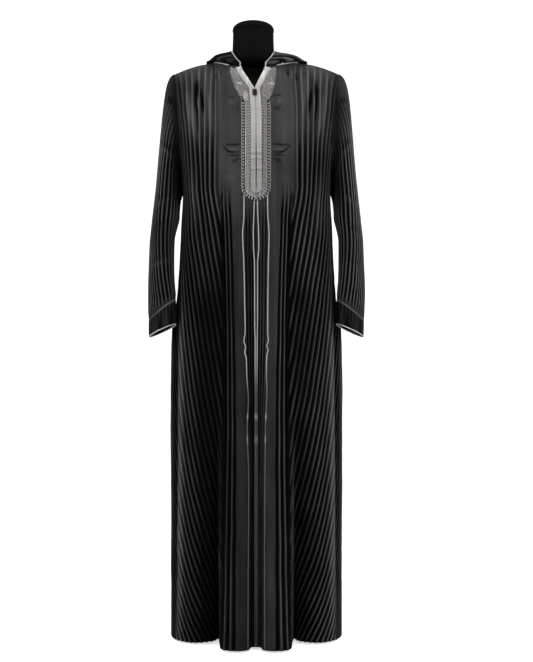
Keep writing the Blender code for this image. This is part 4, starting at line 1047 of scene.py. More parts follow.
def panel_tone_and_painted_light(x, z):
    """Half where the cloth is plain, more under painted light and less under painted shade, with tone that
    differs at random.
    """
    low = ease((1150 - z) / 150)
    # Lower down the cloth is darker and its right side painted lighter; higher up its left side is painted a
    # little lighter.
    value = 0.96 + 0.16 * wander(x * 1.3, z * 1.1, 2.0) + (0.15 * np.sign(x) - 0.20) * low
    value = value - 0.05 * np.sign(x) * (1 - low)
    for shade in PAINTED_LIGHT_AND_SHADE_STRIPES:
        stripe = np.exp(-((np.abs(x) - shade.x) / shade.width) ** 2)
        value = value + shade.amount * stripe * ease((z - shade.low) / 120) * ease((shade.high - z) / 120)
    return np.clip(value / 2, 0.05, 1)


def make_panel(name, back, sides, node):
    places, faces, painted_sheen, tone_and_painted_light, u, v = [], [], [], [], [], []
    start = 0
    for side in sides:
        made = panel_grid(back, side)
        columns, rows = made["s"].shape
        order = grid_faces(columns, rows) + start
        if (side < 0) != back:
            order = order[:, ::-1]
        start += columns * rows
        faces.append(order)
        places.append(leaned(made["points"]).reshape(-1, 3))
        painted_sheen.append(panel_painted_sheen(made, side).ravel())
        tone_and_painted_light.append(panel_tone_and_painted_light(made["points"][..., 0], made["z"]).ravel())
        u.append((made["s"] * side * MM).ravel())
        v.append((np.minimum(made["h"], made["z"]) * MM).ravel())
    mesh = new_mesh(name, np.concatenate(places), np.concatenate(faces))
    add_point_values(mesh, {"painted_sheen": np.concatenate(painted_sheen), "tone_and_painted_light": np.concatenate(tone_and_painted_light)})
    add_uv(mesh, np.concatenate(u), np.concatenate(v))
    piece = finish_piece(name, mesh, CLOTH_FINISH, wall=CLOTH_WALL)
    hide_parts(node)
    print(name, len(mesh.polygons), "quads")


for side, label in SIDES:
    make_panel(f"front_cloth_{label}", False, (side,), f"front_{label}")
make_panel("back_cloth", True, (1, -1), "back")

# %% [markdown]
# A set-in sleeve is cut flat with a rounded head that is as long as the armhole, so it leaves
# the armhole at right angles to the seam, rolls over and hangs. Each line down the sleeve is
# a Bezier curve from the armhole to an oval ring at the biceps, then passes through the
# ovals down to the cuff. Its pleats are narrower than the body's.
# %% Sleeves
Ring = namedtuple("Ring", "height slant centre_x centre_y across depth tilt")
SLEEVE_RINGS = (
    Ring(761, 30, 235.5, -58, 31, 54, 24),
    Ring(800, 52, 237, -54, 31, 56, 22),
    Ring(895, 22, 241.5, -38, 31, 61, 15),
    Ring(990, 8, 242, -18, 30.5, 68, 9),
    Ring(1066, 0, 233.5, -4, 34, 76, 4),
)
ARMHOLE_GAP = 0.8
SLEEVE_ROUND = 0.29
SLEEVE_PLEATS = 15
SLEEVE_PLEAT_DEPTH = 1.5
SLEEVE_CREASES = (
    Crease(5, -3.0, ((-238, 1252), (-226, 1240), (-214, 1228))),
    Crease(4, 1.8, ((-240, 1240), (-228, 1228), (-216, 1214))),
    Crease(6, -2.4, ((-262, 1098), (-240, 1108), (-216, 1118))),
    Crease(5, 1.8, ((-264, 1086), (-242, 1095), (-214, 1104))),
    Crease(6, -2.2, ((-266, 1030), (-244, 1038), (-220, 1050))),
    Crease(7, -2.0, ((-268, 948), (-246, 952), (-218, 962))),
    Crease(5, 1.5, ((-266, 936), (-240, 942), (-216, 950))),
    Crease(6, -2.0, ((-264, 862), (-240, 858), (-214, 866))),
    Crease(5, -2.6, ((-228, 1366), (-220, 1360), (-212, 1352))),
    Crease(4, -2.0, ((-229, 1376), (-221, 1371), (-212, 1366))),
    Crease(5, -2.8, ((240, 1262), (229, 1248), (216, 1232))),
    Crease(4, 1.6, ((241, 1248), (230, 1234), (217, 1220))),
    Crease(6, -2.2, ((263, 1104), (241, 1112), (217, 1126))),
    Crease(5, 1.6, ((264, 1092), (242, 1100), (216, 1112))),
    Crease(6, -2.0, ((267, 1020), (244, 1030), (221, 1038))),
    Crease(7, -2.2, ((268, 940), (245, 946), (218, 952))),
    Crease(6, -1.8, ((265, 870), (241, 868), (215, 874))),
    Crease(5, -2.2, ((228, 1372), (220, 1364), (212, 1358))),
)


def oval_xy(ring, fraction, back):
    """A point on a sleeve ring, from its outer side (0) round to the body's side (1)."""
    steps = np.linspace(0, math.pi, 361)
    plain = np.stack([ring.across * np.cos(steps), ring.depth * np.sin(steps)], axis=1)
    lengths = run_lengths(plain)
    place = np.asarray(fraction) * lengths[-1]
    x = np.interp(place, lengths, plain[:, 0])
    y = np.interp(place, lengths, plain[:, 1]) * (1 if back else -1)
    turn = math.radians(ring.tilt)
    return np.stack([ring.centre_x + x * math.cos(turn) + y * math.sin(turn),
                     ring.centre_y - x * math.sin(turn) + y * math.cos(turn)], axis=-1)


def ring_height(ring, x):
    """A ring slants: it is at its named height on the outside and higher by the body."""
    turn = math.radians(ring.tilt)
    reach = math.hypot(ring.across * math.cos(turn), ring.depth * math.sin(turn))
    return ring.height + ring.slant * (ring.centre_x + reach - x) / (2 * reach)


def ring_point(ring, fraction, back, lift=0.0):
    xy = oval_xy(ring, fraction, back)
    return np.stack([xy[..., 0], xy[..., 1], ring_height(ring, xy[..., 0]) + lift], axis=-1)


def sleeve_half(back, count, low_rows, high_rows):
    """Lines down the front or the back half of the right sleeve, from its cuff seam up."""
    f = np.linspace(0, 1, count)
    span = float(side_length(UNDERARM, back)) - ARM_START - SEAM_GAP / 2
    s = ARM_START + span * f
    top = cloth_at(s, np.full(count, YOKE_TOP), back)
    normal = cloth_normal(s, np.full(count, YOKE_TOP), back)
    away = np.cross(normal, np.gradient(top, axis=0)) * (-1 if back else 1)
    start = top + unit(away) * ARMHOLE_GAP
    start[:, 0] += 1.2 * f**4
    rings = SLEEVE_RINGS[1:]
    lifts = [SEAM_GAP / 2] + [0.0] * (len(rings) - 1)
    stations = np.stack([ring_point(ring, f, back, lift) for ring, lift in zip(rings, lifts)])
    lower = passing_through(np.arange(len(rings)), stations)(np.linspace(0, len(rings) - 1, low_rows))
    foot = stations[-1]
    drop = (start[:, 2] - foot[:, 2])[:, None]
    f = f[:, None]
    sideways = (0.06 if back else -0.06) * np.sin(math.pi * f)
    leave = start + np.concatenate([32 * (1 - f) + 7, 40 * sideways, -(8 + 12 * f)], axis=1)
    upwards = np.concatenate([-0.125 * (1 - f), sideways, np.ones_like(f)], axis=1)
    arrive = foot + upwards * drop * (0.65 - 0.32 * f)
    upper = []
    for share in np.linspace(1, 0, high_rows + 1)[1:]:
        t = 1 - share
        upper.append(start * t**3 + 3 * leave * t**2 * share + 3 * arrive * t * share**2 + foot * share**3)
    return np.concatenate([lower, np.array(upper)]).transpose(1, 0, 2)


def surface_normals(grid, closed=False):
    across = np.roll(grid, -1, axis=0) - np.roll(grid, 1, axis=0)
    if not closed:
        across[0], across[-1] = grid[1] - grid[0], grid[-1] - grid[-2]
    return unit(np.cross(across, np.gradient(grid, axis=1)))


def make_sleeve(side, name, node):
    count = 8 * SLEEVE_PLEATS + 1
    low_rows, high_rows = 40, 34
    halves = [sleeve_half(back, count, low_rows, high_rows) for back in (False, True)]
    grid = np.concatenate([halves[0], halves[1][-2:0:-1]])[::-1]
    columns, rows = grid.shape[:2]
    normals = surface_normals(grid, closed=True)
    turn = 2 * math.pi * SLEEVE_PLEATS * 2 * np.arange(columns)[:, None] / columns
    x, z = grid[..., 0] * side, grid[..., 2]
    seed = 8.0 + side
    wave = 0.5 + 0.5 * np.cos(turn + 0.9 * wander(grid[..., 1] + 20 * side, z, seed))
    row = np.broadcast_to(np.arange(rows)[None, :], (columns, rows))
    strength = ease(row / 3) * ease((rows - 1 - row) / 22)
    uneven = 1 + 0.35 * wander(grid[..., 1] * 1.5, z, seed + 3)
    creases, crease_shade = crease_effect(x, z, SLEEVE_CREASES, side)
    creases = creases * ease(row / 5) * ease((rows - 1 - row) / 10)
    facing = ease(np.abs(normals[..., 1]) * 2)
    rise = (2 * wave**1.6 - 1) * SLEEVE_PLEAT_DEPTH * strength * uneven + creases * facing
    points = grid + normals * rise[..., None]
    points[..., 0] *= side
    faces = grid_faces(columns, rows, closed=True)
    mesh = new_mesh(name, leaned(points), faces if side > 0 else faces[:, ::-1])
    # Painted light and shade: the sleeve's outer side lighter and its inner side darker, the right sleeve a
    # little lighter and the top lighter; painted highlights on the ridges and painted light and shade on the
    # creases.
    outer = np.clip((np.abs(x) - 228) / 22, -1, 1) * ease((z - 1050) / 120)
    tone = 0.5 + 0.08 * side + 0.12 * wander(x * 1.4, z, seed) + 0.50 * outer + 0.14 * ease((z - 1130) / 120)
    ridge_sheen = wave**5 * strength + 0.25 * (1 - strength) + crease_shade * facing
    add_point_values(mesh, {"painted_sheen": np.clip(ridge_sheen, 0, 1), "tone_and_painted_light": np.clip(tone, 0.1, 1)})
    around = np.arange(columns) / columns * SLEEVE_ROUND
    add_uv(mesh, np.broadcast_to(around[:, None], (columns, rows)), z * MM)
    piece = finish_piece(name, mesh, CLOTH_FINISH, wall=CLOTH_WALL)
    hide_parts(node)
    heights = points[..., 2]
    print(name, len(mesh.polygons), "quads, from", round(heights.min()), "to", round(heights.max()), "mm")


for side, label in SIDES:
    make_sleeve(side, f"sleeve_cloth_{label}", f"sleeve_{label}")

# %% [markdown]
# The cuff is a plain band, cut on a slant so that it reaches lower on the outside, turned in
# and top-stitched. It is stiffer than the sleeve, so it only has a few soft waves.
# %% Cuffs
CUFF_COUNT = 120
CUFF_ROWS = 16


def ring_around(ring, count, lift=0.0):
    f = np.linspace(0, 1, count // 2 + 1)
    front = ring_point(ring, f, False, lift)
    rear = ring_point(ring, f, True, lift)
    return np.concatenate([front, rear[-2:0:-1]])[::-1]


def make_cuff(side, name, node):
    low = ring_around(SLEEVE_RINGS[0], CUFF_COUNT)
    high = ring_around(SLEEVE_RINGS[1], CUFF_COUNT, -SEAM_GAP / 2)
    shares = np.linspace(0, 1, CUFF_ROWS)[None, :, None]
    grid = low[:, None, :] * (1 - shares) + high[:, None, :] * shares
    normals = surface_normals(grid, closed=True)
    turn = 2 * math.pi * np.arange(CUFF_COUNT)[:, None] / CUFF_COUNT
    lower = 1 - np.linspace(0, 1, CUFF_ROWS)[None, :]
    waves = np.sin(7 * turn + side) * 0.7 + np.sin(11 * turn + 2 * side) * 0.5
    fine = np.cos(2 * math.pi * 2 * SLEEVE_PLEATS * np.arange(CUFF_COUNT)[:, None] / CUFF_COUNT)
    rise = waves * (0.3 + 0.7 * lower) + 0.35 * fine * ease((1 - lower) * 2)
    seam = ease(lower * 6) * ease((1 - lower) * 10)
    points = grid + normals * (rise * seam)[..., None]
    points[..., 0] *= side
    faces = grid_faces(CUFF_COUNT, CUFF_ROWS, closed=True)
    mesh = new_mesh(name, leaned(points), faces if side > 0 else faces[:, ::-1])
    # Painted highlights on the fine ridges, on the waves and along the top seam, with painted shade between.
    painted_sheen = 0.09 + 0.16 * fine * (1 - lower) + 0.12 * waves * lower + 0.7 * (lower < 0.1)
    add_point_values(mesh, {"painted_sheen": np.clip(painted_sheen, 0, 1), "tone_and_painted_light": 0 * painted_sheen + 0.5})
    around = turn / (2 * math.pi) * SLEEVE_ROUND
    add_uv(mesh, np.broadcast_to(around, painted_sheen.shape), points[..., 2] * MM)
    piece = finish_piece(name, mesh, CLOTH_FINISH, wall=0.0018)
    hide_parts(node)


for side, label in SIDES:
    make_cuff(side, f"cuff_cloth_{label}", f"cuff_{label}")

# %% [markdown]
# The hood is one bag sewn round the neckline. It lies down the back: from its seam the cloth
# runs outwards over the robe, turns up and over at a soft roll, and comes back to the face
# edge, which stands round the form's neck. Eight stations round the neckline hold that
# path, a curve joins them, and drag folds start at the front corners where the bag pulls.
# %% Hood
Station = namedtuple("Station", "seam rise lining_side fold outer_side edge")
HOOD_STATIONS = (
    Station((34, -78.6, 1444.4), (34.6, -80.2, 1445.8), (35, -81.2, 1447.3), (35.1, -81.6, 1449),
            (34.8, -81.2, 1450.6), (34, -80.4, 1452)),
    Station((50, -70.6, 1450.4), (54, -75, 1451), (59, -78, 1452.4), (64, -78.5, 1455), (59, -75.5, 1461),
            (41, -68, 1463)),
    Station((80, -47.6, 1462.4), (85, -52.5, 1462.6), (91, -56.5, 1463.2), (98, -57, 1466), (82, -50, 1476),
            (48, -43, 1479)),
    Station((100, -19.8, 1473.4), (105, -24, 1473), (112, -28.5, 1472), (120, -28, 1473.5), (102, -21, 1490),
            (61, -12, 1502)),
    Station((112, 6, 1478.2), (117, 8, 1480.5), (124, 14, 1480.5), (132, 21, 1481), (111, 23, 1494),
            (68, 26, 1501)),
    Station((94, 56, 1480.2), (101, 62, 1484), (113, 76, 1457), (126, 104, 1397), (124, 114, 1449),
            (84, 78, 1490)),
    Station((58, 90.4, 1482.2), (61, 98, 1486), (70, 110, 1437), (86, 142, 1297), (88, 160, 1373),
            (58, 138, 1474)),
    Station((0, 100.4, 1483.2), (0, 107, 1486.5), (0, 121, 1423), (0, 150, 1219), (0, 180, 1323),
            (0, 168, 1460)),
)
HOOD_LIFT = np.array([0.0, 0.0, 0.1])
HOOD_HALF_COLUMNS = 72
HOOD_ROWS = 56


def hood_grid():
    """Columns of the whole hood, from the right front corner round the back to the left."""
    stations = np.array(HOOD_STATIONS, float)
    seams = stations[:, 0]
    places = run_lengths(seams)
    between = passing_through(places, stations)
    half = []
    for place in np.linspace(0, places[-1], HOOD_HALF_COLUMNS):
        controls = between(place)
        gaps = np.linalg.norm(np.diff(controls, axis=0), axis=1) ** 0.7
        steps = np.concatenate([[0.0], np.cumsum(gaps)])
        half.append(passing_through(steps, controls)(np.linspace(0, steps[-1], HOOD_ROWS)) + HOOD_LIFT)
    half = np.array(half)
    return np.concatenate([half, half[-2::-1] * np.array([-1, 1, 1])])


def make_hood():
    grid = hood_grid()
    columns, rows = grid.shape[:2]
    normals = surface_normals(grid)
    across = np.linspace(-1, 1, columns)[:, None]
    up = np.linspace(0, 1, rows)[None, :]
    inside = ease(up * 8) * ease((1 - up) * 8)
    ends = ease((1 - np.abs(across)) * 7)
    pulls = 1.6 * np.sin(across * 46 + 4 * up) * np.exp(-((np.abs(across) - 0.82) / 0.16) ** 2)
    sags = 2.6 * np.sin(across * 15 + 1.0) * np.exp(-((up - 0.55) / 0.22) ** 2)
    sags = sags * ease((0.75 - np.abs(across)) * 3)
    rolls = 1.8 * np.sin(up * 20 + 2.2 * np.cos(across * 5)) * ease((0.6 - np.abs(across)) * 3)
    fine = np.cos(across * 2 * math.pi * 44 + 0.8 * np.sin(up * 5))
    folds = pulls + sags + rolls
    rise = folds * inside * ends + 0.35 * fine * inside * ends
    points = grid + normals * rise[..., None]
    mesh = new_mesh("hood_cloth", leaned(points), grid_faces(columns, rows))
    # Painted light and shade: the hood's right side lighter than its left, painted highlights on its folds
    # and painted shade in their hollows.
    base = 0.05 + 0.09 * ease((-across - 0.2) * 3)
    painted_sheen = np.clip(base + 0.05 * fine * inside + 0.30 * np.clip(folds, -1, 3), 0, 1)
    tone_and_painted_light = np.clip(0.62 - 0.42 * across, 0, 1) * np.ones_like(painted_sheen)
    add_point_values(mesh, {"painted_sheen": painted_sheen, "tone_and_painted_light": tone_and_painted_light})
    add_uv(mesh, np.broadcast_to(across * 0.33, painted_sheen.shape), np.broadcast_to(up * 0.36 + 2.0, painted_sheen.shape))
    piece = finish_piece("hood_cloth", mesh, CLOTH_FINISH, wall=0.0012)
    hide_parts("hood")
    print("hood_cloth", len(mesh.polygons), "quads")


make_hood()

# %% [markdown]
# The placket's trimmings lie on the smooth front: two satin bands beside the zip, a braid lace
# round them and silver cords below. All are placed by s, the distance from the centre line,
# and by height, and stand a little off the cloth along the way that it faces there.
# %% Satin bands
V_RISE = (V_EDGE[-1].z - V_FOOT) / V_EDGE[-1].s
V_ARM_DROP = 30.6
BAND_HALF_WIDTH = 14.0
BAND_FOOT = 1108.8
BAND_COLUMNS = 31
BAND_ROWS = 190
# Level creases of the bands: height, half width and rise.
BandCrease = namedtuple("BandCrease", "height width rise")
BAND_CREASES = (BandCrease(1322, 3.0, -0.35), BandCrease(1290, 4.0, 0.2), BandCrease(1216, 3.2, 0.55),
                BandCrease(1207, 2.2, -0.7), BandCrease(1200, 3.0, 0.5), BandCrease(1194, 2.0, -0.6),
                BandCrease(1172, 3.0, 0.5), BandCrease(1166, 2.2, -0.6), BandCrease(1140, 4.0, 0.25))


def v_line(s):
    return V_FOOT + s * V_RISE


def on_front(s, z, lift=0.0, side=1):
    """Places above the front's cloth at (s, z), and the way that the cloth faces there."""
    s, z, lift = np.broadcast_arrays(np.asarray(s, float), np.asarray(z, float), np.asarray(lift, float))
    h = height_share(s, z, False)
    normal = cloth_normal(s, h, False)
    point = cloth_at(s, h, False) + normal * lift[..., None]
    mirror = np.array([side, 1, 1])
    return point * mirror, normal * mirror


def through_rows(rows, count):
    """Rows read evenly between the given ones, along the length of their middles."""
    rows = np.array(rows, float)
    middle = rows[:, rows.shape[1] // 2]
    places = run_lengths(middle)
    return passing_through(places, rows)(np.linspace(0, places[-1], count))


def across(inner, outer, shares):
    inner, outer = np.array(inner, float), np.array(outer, float)
    return inner + (outer - inner) * np.asarray(shares)[:, None]


def band_rows():
    """(s, z) across the band, from its rounded foot up beside the zip and out along the V."""
    q = np.linspace(0, 1, BAND_COLUMNS)
    s = 0.25 + (BAND_HALF_WIDTH - 0.25) * q
    foot = BAND_FOOT + BAND_HALF_WIDTH - np.sqrt(BAND_HALF_WIDTH**2 - (s * 0.97) ** 2)
    rows = [np.stack([s, foot + rise * (1 - q * 0.6)], axis=1) for rise in (0, 5)]
    for z, parted in ((1132, 0.7), (1160, 0.9), (1210, 0.8), (1240, 0.2), (1280, 0), (1310, 0)):
        rows.append(np.stack([s + parted * (1 - q), np.full(len(s), z)], axis=1))
    rows.append(across((0.25, V_FOOT - 2), (BAND_HALF_WIDTH, v_line(BAND_HALF_WIDTH) - V_ARM_DROP), q))
    for s in (8.0, 16.0, 24.0, 31.0):
        end = s + BAND_HALF_WIDTH
        rows.append(across((s, v_line(s) - 0.4), (end, v_line(end) - V_ARM_DROP), q))
    return rows


def make_band(side, name, node):
    sz = through_rows(band_rows(), BAND_ROWS)
    q = np.linspace(0, 1, BAND_COLUMNS)[None, :]
    s, z = sz[..., 0], sz[..., 1]
    t = np.linspace(0, 1, BAND_ROWS)[:, None]
    arm = ease((t - 0.78) / 0.08)
    crown = 0.9 * (1 - (2 * q - 1) ** 8)
    rolls = 0.45 * np.exp(-((q - 0.06) / 0.05) ** 2) + 0.35 * np.exp(-((q - 0.94) / 0.05) ** 2)
    seams = -0.45 * (np.exp(-((q - 0.19) / 0.03) ** 2) + np.exp(-((q - 0.83) / 0.03) ** 2)) * (1 - arm)
    level = z + 1.2 * side * (q - 0.5)
    folds = sum(c.rise * np.exp(-((level - c.height) / c.width) ** 2) for c in BAND_CREASES)
    ripple = 0.25 * np.sin(t * 90 + 3 * q + side) * np.sin(math.pi * q)
    roll = arm * (1.1 * np.sin(math.pi * q ** 0.8) + ripple)
    lift = 0.7 + crown + rolls + seams + folds * (1 - arm) + roll
    points, normals = on_front(s, z, lift, side)
    faces = grid_faces(BAND_ROWS, BAND_COLUMNS)
    mesh = new_mesh(name, leaned(points), faces if side < 0 else faces[:, ::-1])
    # Painted light and shade: the band darker lower down, lighter on its creases' ridges and darker in their
    # troughs, and one edge of its rolled top painted lighter.
    shade = 0.35 + 0.39 * ease((z - 1150) / 200) + 0.04 * arm + 0.34 * np.clip(folds, -1, 1)
    shade = shade + 0.18 * arm * (1 - 2 * q) * (1 if side > 0 else 0.5)
    add_point_values(mesh, {"tone_and_painted_light": np.clip(shade, 0, 1)})
    add_uv(mesh, s * side * MM, z * MM)
    piece = finish_piece(name, mesh, SATIN_FINISH, wall=0.0006)
    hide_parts(node)
    return piece


for side, label in SIDES:
    band = make_band(side, f"satin_band_{label}", f"band_{label}")
print("bands:", len(band.data.polygons), "quads each")

# %% [markdown]
# Bobbin lace is made of a few motifs repeated at an even pitch. One small shape is modelled for
# each motif, and a node tree puts copies of it at the points of a row, each turned to run along
# the row and lie flat on the cloth. The copies are then made real, so they are one plain mesh.
# %% Copies along a row


def make_copies_tree():
    tree = bpy.data.node_groups.new("copies along a row", "GeometryNodeTree")
    socket(tree, "Geometry", "NodeSocketGeometry", True)
    socket(tree, "Template", "NodeSocketObject", True)
    socket(tree, "Size", "NodeSocketFloat", True, 1.0)
    socket(tree, "Geometry", "NodeSocketGeometry", False)
    row = NodeRow(tree)
    given = row.add("NodeGroupInput")
    result = row.add("NodeGroupOutput")
    shape = row.add("GeometryNodeObjectInfo")
    row.link(given.outputs["Template"], shape.inputs["Object"])
    named = {}
    for key in ("turn", "size"):
        named[key] = row.add("GeometryNodeInputNamedAttribute", data_type="FLOAT_VECTOR")
        named[key].inputs["Name"].default_value = key
    rotation = row.add("FunctionNodeEulerToRotation")
    row.link(named["turn"].outputs["Attribute"], rotation.inputs[0])
    scaled = row.add("ShaderNodeVectorMath", operation="SCALE")
    row.link(named["size"].outputs["Attribute"], scaled.inputs[0])
    row.link(given.outputs["Size"], scaled.inputs["Scale"])
    copies = row.add("GeometryNodeInstanceOnPoints")
    row.link(given.outputs["Geometry"], copies.inputs["Points"])
    row.link(shape.outputs["Geometry"], copies.inputs["Instance"])
    row.link(rotation.outputs[0], copies.inputs["Rotation"])
    row.link(scaled.outputs[0], copies.inputs["Scale"])
    real = row.add("GeometryNodeRealizeInstances")
    row.link(copies.outputs[0], real.inputs[0])
    row.link(real.outputs[0], result.inputs["Geometry"])
    return tree


COPIES_TREE = make_copies_tree()
Row = namedtuple("Row", "places aheads normals")


def joined_rows(*rows):
    return Row(*(np.concatenate(parts) for parts in zip(*rows)))


def copies(template, row, size=1.0, sizes=None, twist=0.0):
    """A mesh of the template at every place; twist turns it about the normal, in radians."""
    places, aheads, normals = row
    ahead = unit(aheads - normals * (aheads * normals).sum(axis=1, keepdims=True))
    aside = np.cross(normals, ahead)
    twist = np.broadcast_to(np.asarray(twist, float), (len(places),))[:, None]
    ahead, aside = (ahead * np.cos(twist) + aside * np.sin(twist),
                    aside * np.cos(twist) - ahead * np.sin(twist))
    turns = [Matrix((a, b, c)).transposed().to_euler() for a, b, c in zip(ahead, aside, normals)]
    mesh = bpy.data.meshes.new("places")
    mesh.vertices.add(len(places))
    mesh.vertices.foreach_set("co", leaned(places).ravel())
    sizes = np.ones((len(places), 3)) if sizes is None else np.broadcast_to(sizes, (len(places), 3))
    for key, values in (("turn", turns), ("size", sizes)):
        layer = mesh.attributes.new(key, "FLOAT_VECTOR", "POINT")
        layer.data.foreach_set("vector", np.array(values, float).ravel())
    holder = bpy.data.objects.new("places", mesh)
    bpy.context.scene.collection.objects.link(holder)
    tree = holder.modifiers.new("copies", "NODES")
    tree.node_group = COPIES_TREE
    given = {"Template": template, "Size": size}
    for item in COPIES_TREE.interface.items_tree:
        if item.item_type == "SOCKET" and item.in_out == "INPUT" and item.name in given:
            tree[item.identifier] = given[item.name]
    bpy.context.view_layer.update()
    real = bpy.data.meshes.new_from_object(holder.evaluated_get(bpy.context.evaluated_depsgraph_get()))
    bpy.data.objects.remove(holder, do_unlink=True)
    # Copies come with an empty slot for a material, which the piece's own finish has to replace.
    real.materials.clear()
    return real


def join_meshes(name, meshes):
    work = bmesh.new()
    for mesh in meshes:
        work.from_mesh(mesh)
    joined = bpy.data.meshes.new(name)
    work.to_mesh(joined)
    work.free()
    return joined


def template(name, points, faces):
    """A small shape in metres, modelled with +X along its row and +Z off the cloth."""
    mesh = bpy.data.meshes.new(name)
    mesh.from_pydata([tuple(point) for point in np.asarray(points) * MM], [], [tuple(face) for face in faces])
    made = bpy.data.objects.new(name, mesh)
    bpy.context.scene.collection.objects.link(made)
    return made


def swept_template(name, centres, radii, sides, closed, flat=1.0):
    """A tube through a few centres in the cloth's plane, flattened towards it."""
    centres, count = np.array(centres, float), len(centres)
    points, faces = [], []
    for i, centre in enumerate(centres):
        before = centres[i - 1] if closed or i else centre
        after = centres[(i + 1) % count] if closed or i < count - 1 else centre
        ahead = unit(after - before)
        aside = np.array([-ahead[1], ahead[0], 0.0])
        for k in range(sides):
            angle = 2 * math.pi * k / sides
            way = aside * math.cos(angle) + np.array([0, 0, flat]) * math.sin(angle)
            points.append(centre + radii[i] * way)
    for i in range(count if closed else count - 1):
        for k in range(sides):
            a, b = i * sides + k, i * sides + (k + 1) % sides
            c, d = (i + 1) % count * sides + (k + 1) % sides, (i + 1) % count * sides + k
            faces.append((a, d, c, b))
    if not closed:
        faces.append(tuple(range(sides)))
        faces.append(tuple(range((count - 1) * sides, count * sides))[::-1])
    return template(name, points, faces)


def ring_template(name, length, width, wire, steps, sides):
    turns = 2 * math.pi * np.arange(steps) / steps
    centres = np.stack([length / 2 * np.cos(turns), width / 2 * np.sin(turns), 0 * turns], axis=1)
    return swept_template(name, centres, [wire] * steps, sides, True)


LOOP = ring_template("lace loop", 6.6, 2.6, 0.85, 12, 5)
EYE = ring_template("lace eye", 4.6, 3.6, 0.7, 10, 5)
KNOT = swept_template("lace knot", ((-1.6, 0, 0), (-0.9, 0, 0), (0, 0, 0), (0.9, 0, 0), (1.6, 0, 0)),
                      (0.3, 1.25, 1.7, 1.25, 0.3), 6, False)
STRAND = swept_template("lace strand", ((-6, 0.5, -0.3), (-4, 0.15, 0.1), (0, 0, 0.45), (4, -0.15, 0.1),
                                        (6, -0.5, -0.3)), (0.35, 0.75, 0.85, 0.75, 0.35), 6, False, 0.8)
PICOT = ring_template("lace picot", 3.0, 3.4, 0.42, 8, 4)
STITCH = swept_template("stitch", ((-1.1, 0, -0.15), (-0.7, 0, 0.1), (0.7, 0, 0.1), (1.1, 0, -0.15)),
                        (0.12, 0.22, 0.22, 0.12), 5, False)

# %% [markdown]
# The lace is a net strip that goes round the bands' foot, up both sides and flares out beside
# the V. From the band outwards it has a row of eyes, a braid of slanting strands, a raised
# cord and an edge of long loops with knots between. The two flares differ, as the real ones
# were shifted when they were sewn.
# %% Lace
LACE_FOOT = 1092.4
LACE_SIDE = 36.3
LACE_ROWS = (
    ((0.6, 1107.4), (0.6, LACE_FOOT)),
    ((4.0, 1107.9), (7.5, 1092.9)),
    ((8.5, 1110.3), (17.0, 1096.3)),
    ((13.0, 1114.8), (27.5, 1104.0)),
    ((14.8, 1121.0), (34.6, 1116.0)),
    ((15.0, 1134.0), (LACE_SIDE, 1132.0)),
    ((15.0, 1200.0), (LACE_SIDE, 1200.0)),
    ((15.0, 1270.0), (LACE_SIDE, 1270.0)),
    ((15.0, 1330.0), (LACE_SIDE, 1330.0)),
    ((15.0, 1348.0), (35.8, 1350.0)),
    ((15.0, 1360.0), (39.5, 1364.0)),
    ((15.2, 1371.0), (46.0, 1382.0)),
    ((17.0, 1381.0), (51.0, 1401.0)),
    ((23.0, 1393.5), (54.0, 1416.0)),
    ((31.0, 1409.3), (56.0, 1429.0)),
    ((38.0, 1423.0), (56.6, 1437.0)),
    ((43.0, 1432.8), (56.0, 1442.0)),
)
LACE_COUNT = 420
LACE_PITCH = 7.5
LOOP_PITCH = 7.7
FLARE_PITCH = 6.0
FLARE_START = 1345.0
lace_lines = through_rows([across(inner, outer, (0, 0.5, 1)) for inner, outer in LACE_ROWS], LACE_COUNT)


def lace_sz(q):
    """(s, z) all along the lace at the share q from its inner edge to its outer one."""
    return lace_lines[:, 0] + (lace_lines[:, 2] - lace_lines[:, 0]) * q


def lace_row(q, side, lift, pitch, start=0.0, low=0.0, high=9999.0):
    """A row of places an even pitch apart along the lace, between two heights."""
    sz = lace_sz(q)
    points, normals = on_front(sz[:, 0], sz[:, 1], lift, side)
    lengths = run_lengths(points)
    at = np.arange(start, lengths[-1], pitch)
    at = at[(np.interp(at, lengths, sz[:, 1]) >= low) & (np.interp(at, lengths, sz[:, 1]) <= high)]
    return Row(read_along(at, lengths, points), read_along(at, lengths, np.gradient(points, axis=0)),
               unit(read_along(at, lengths, normals)))


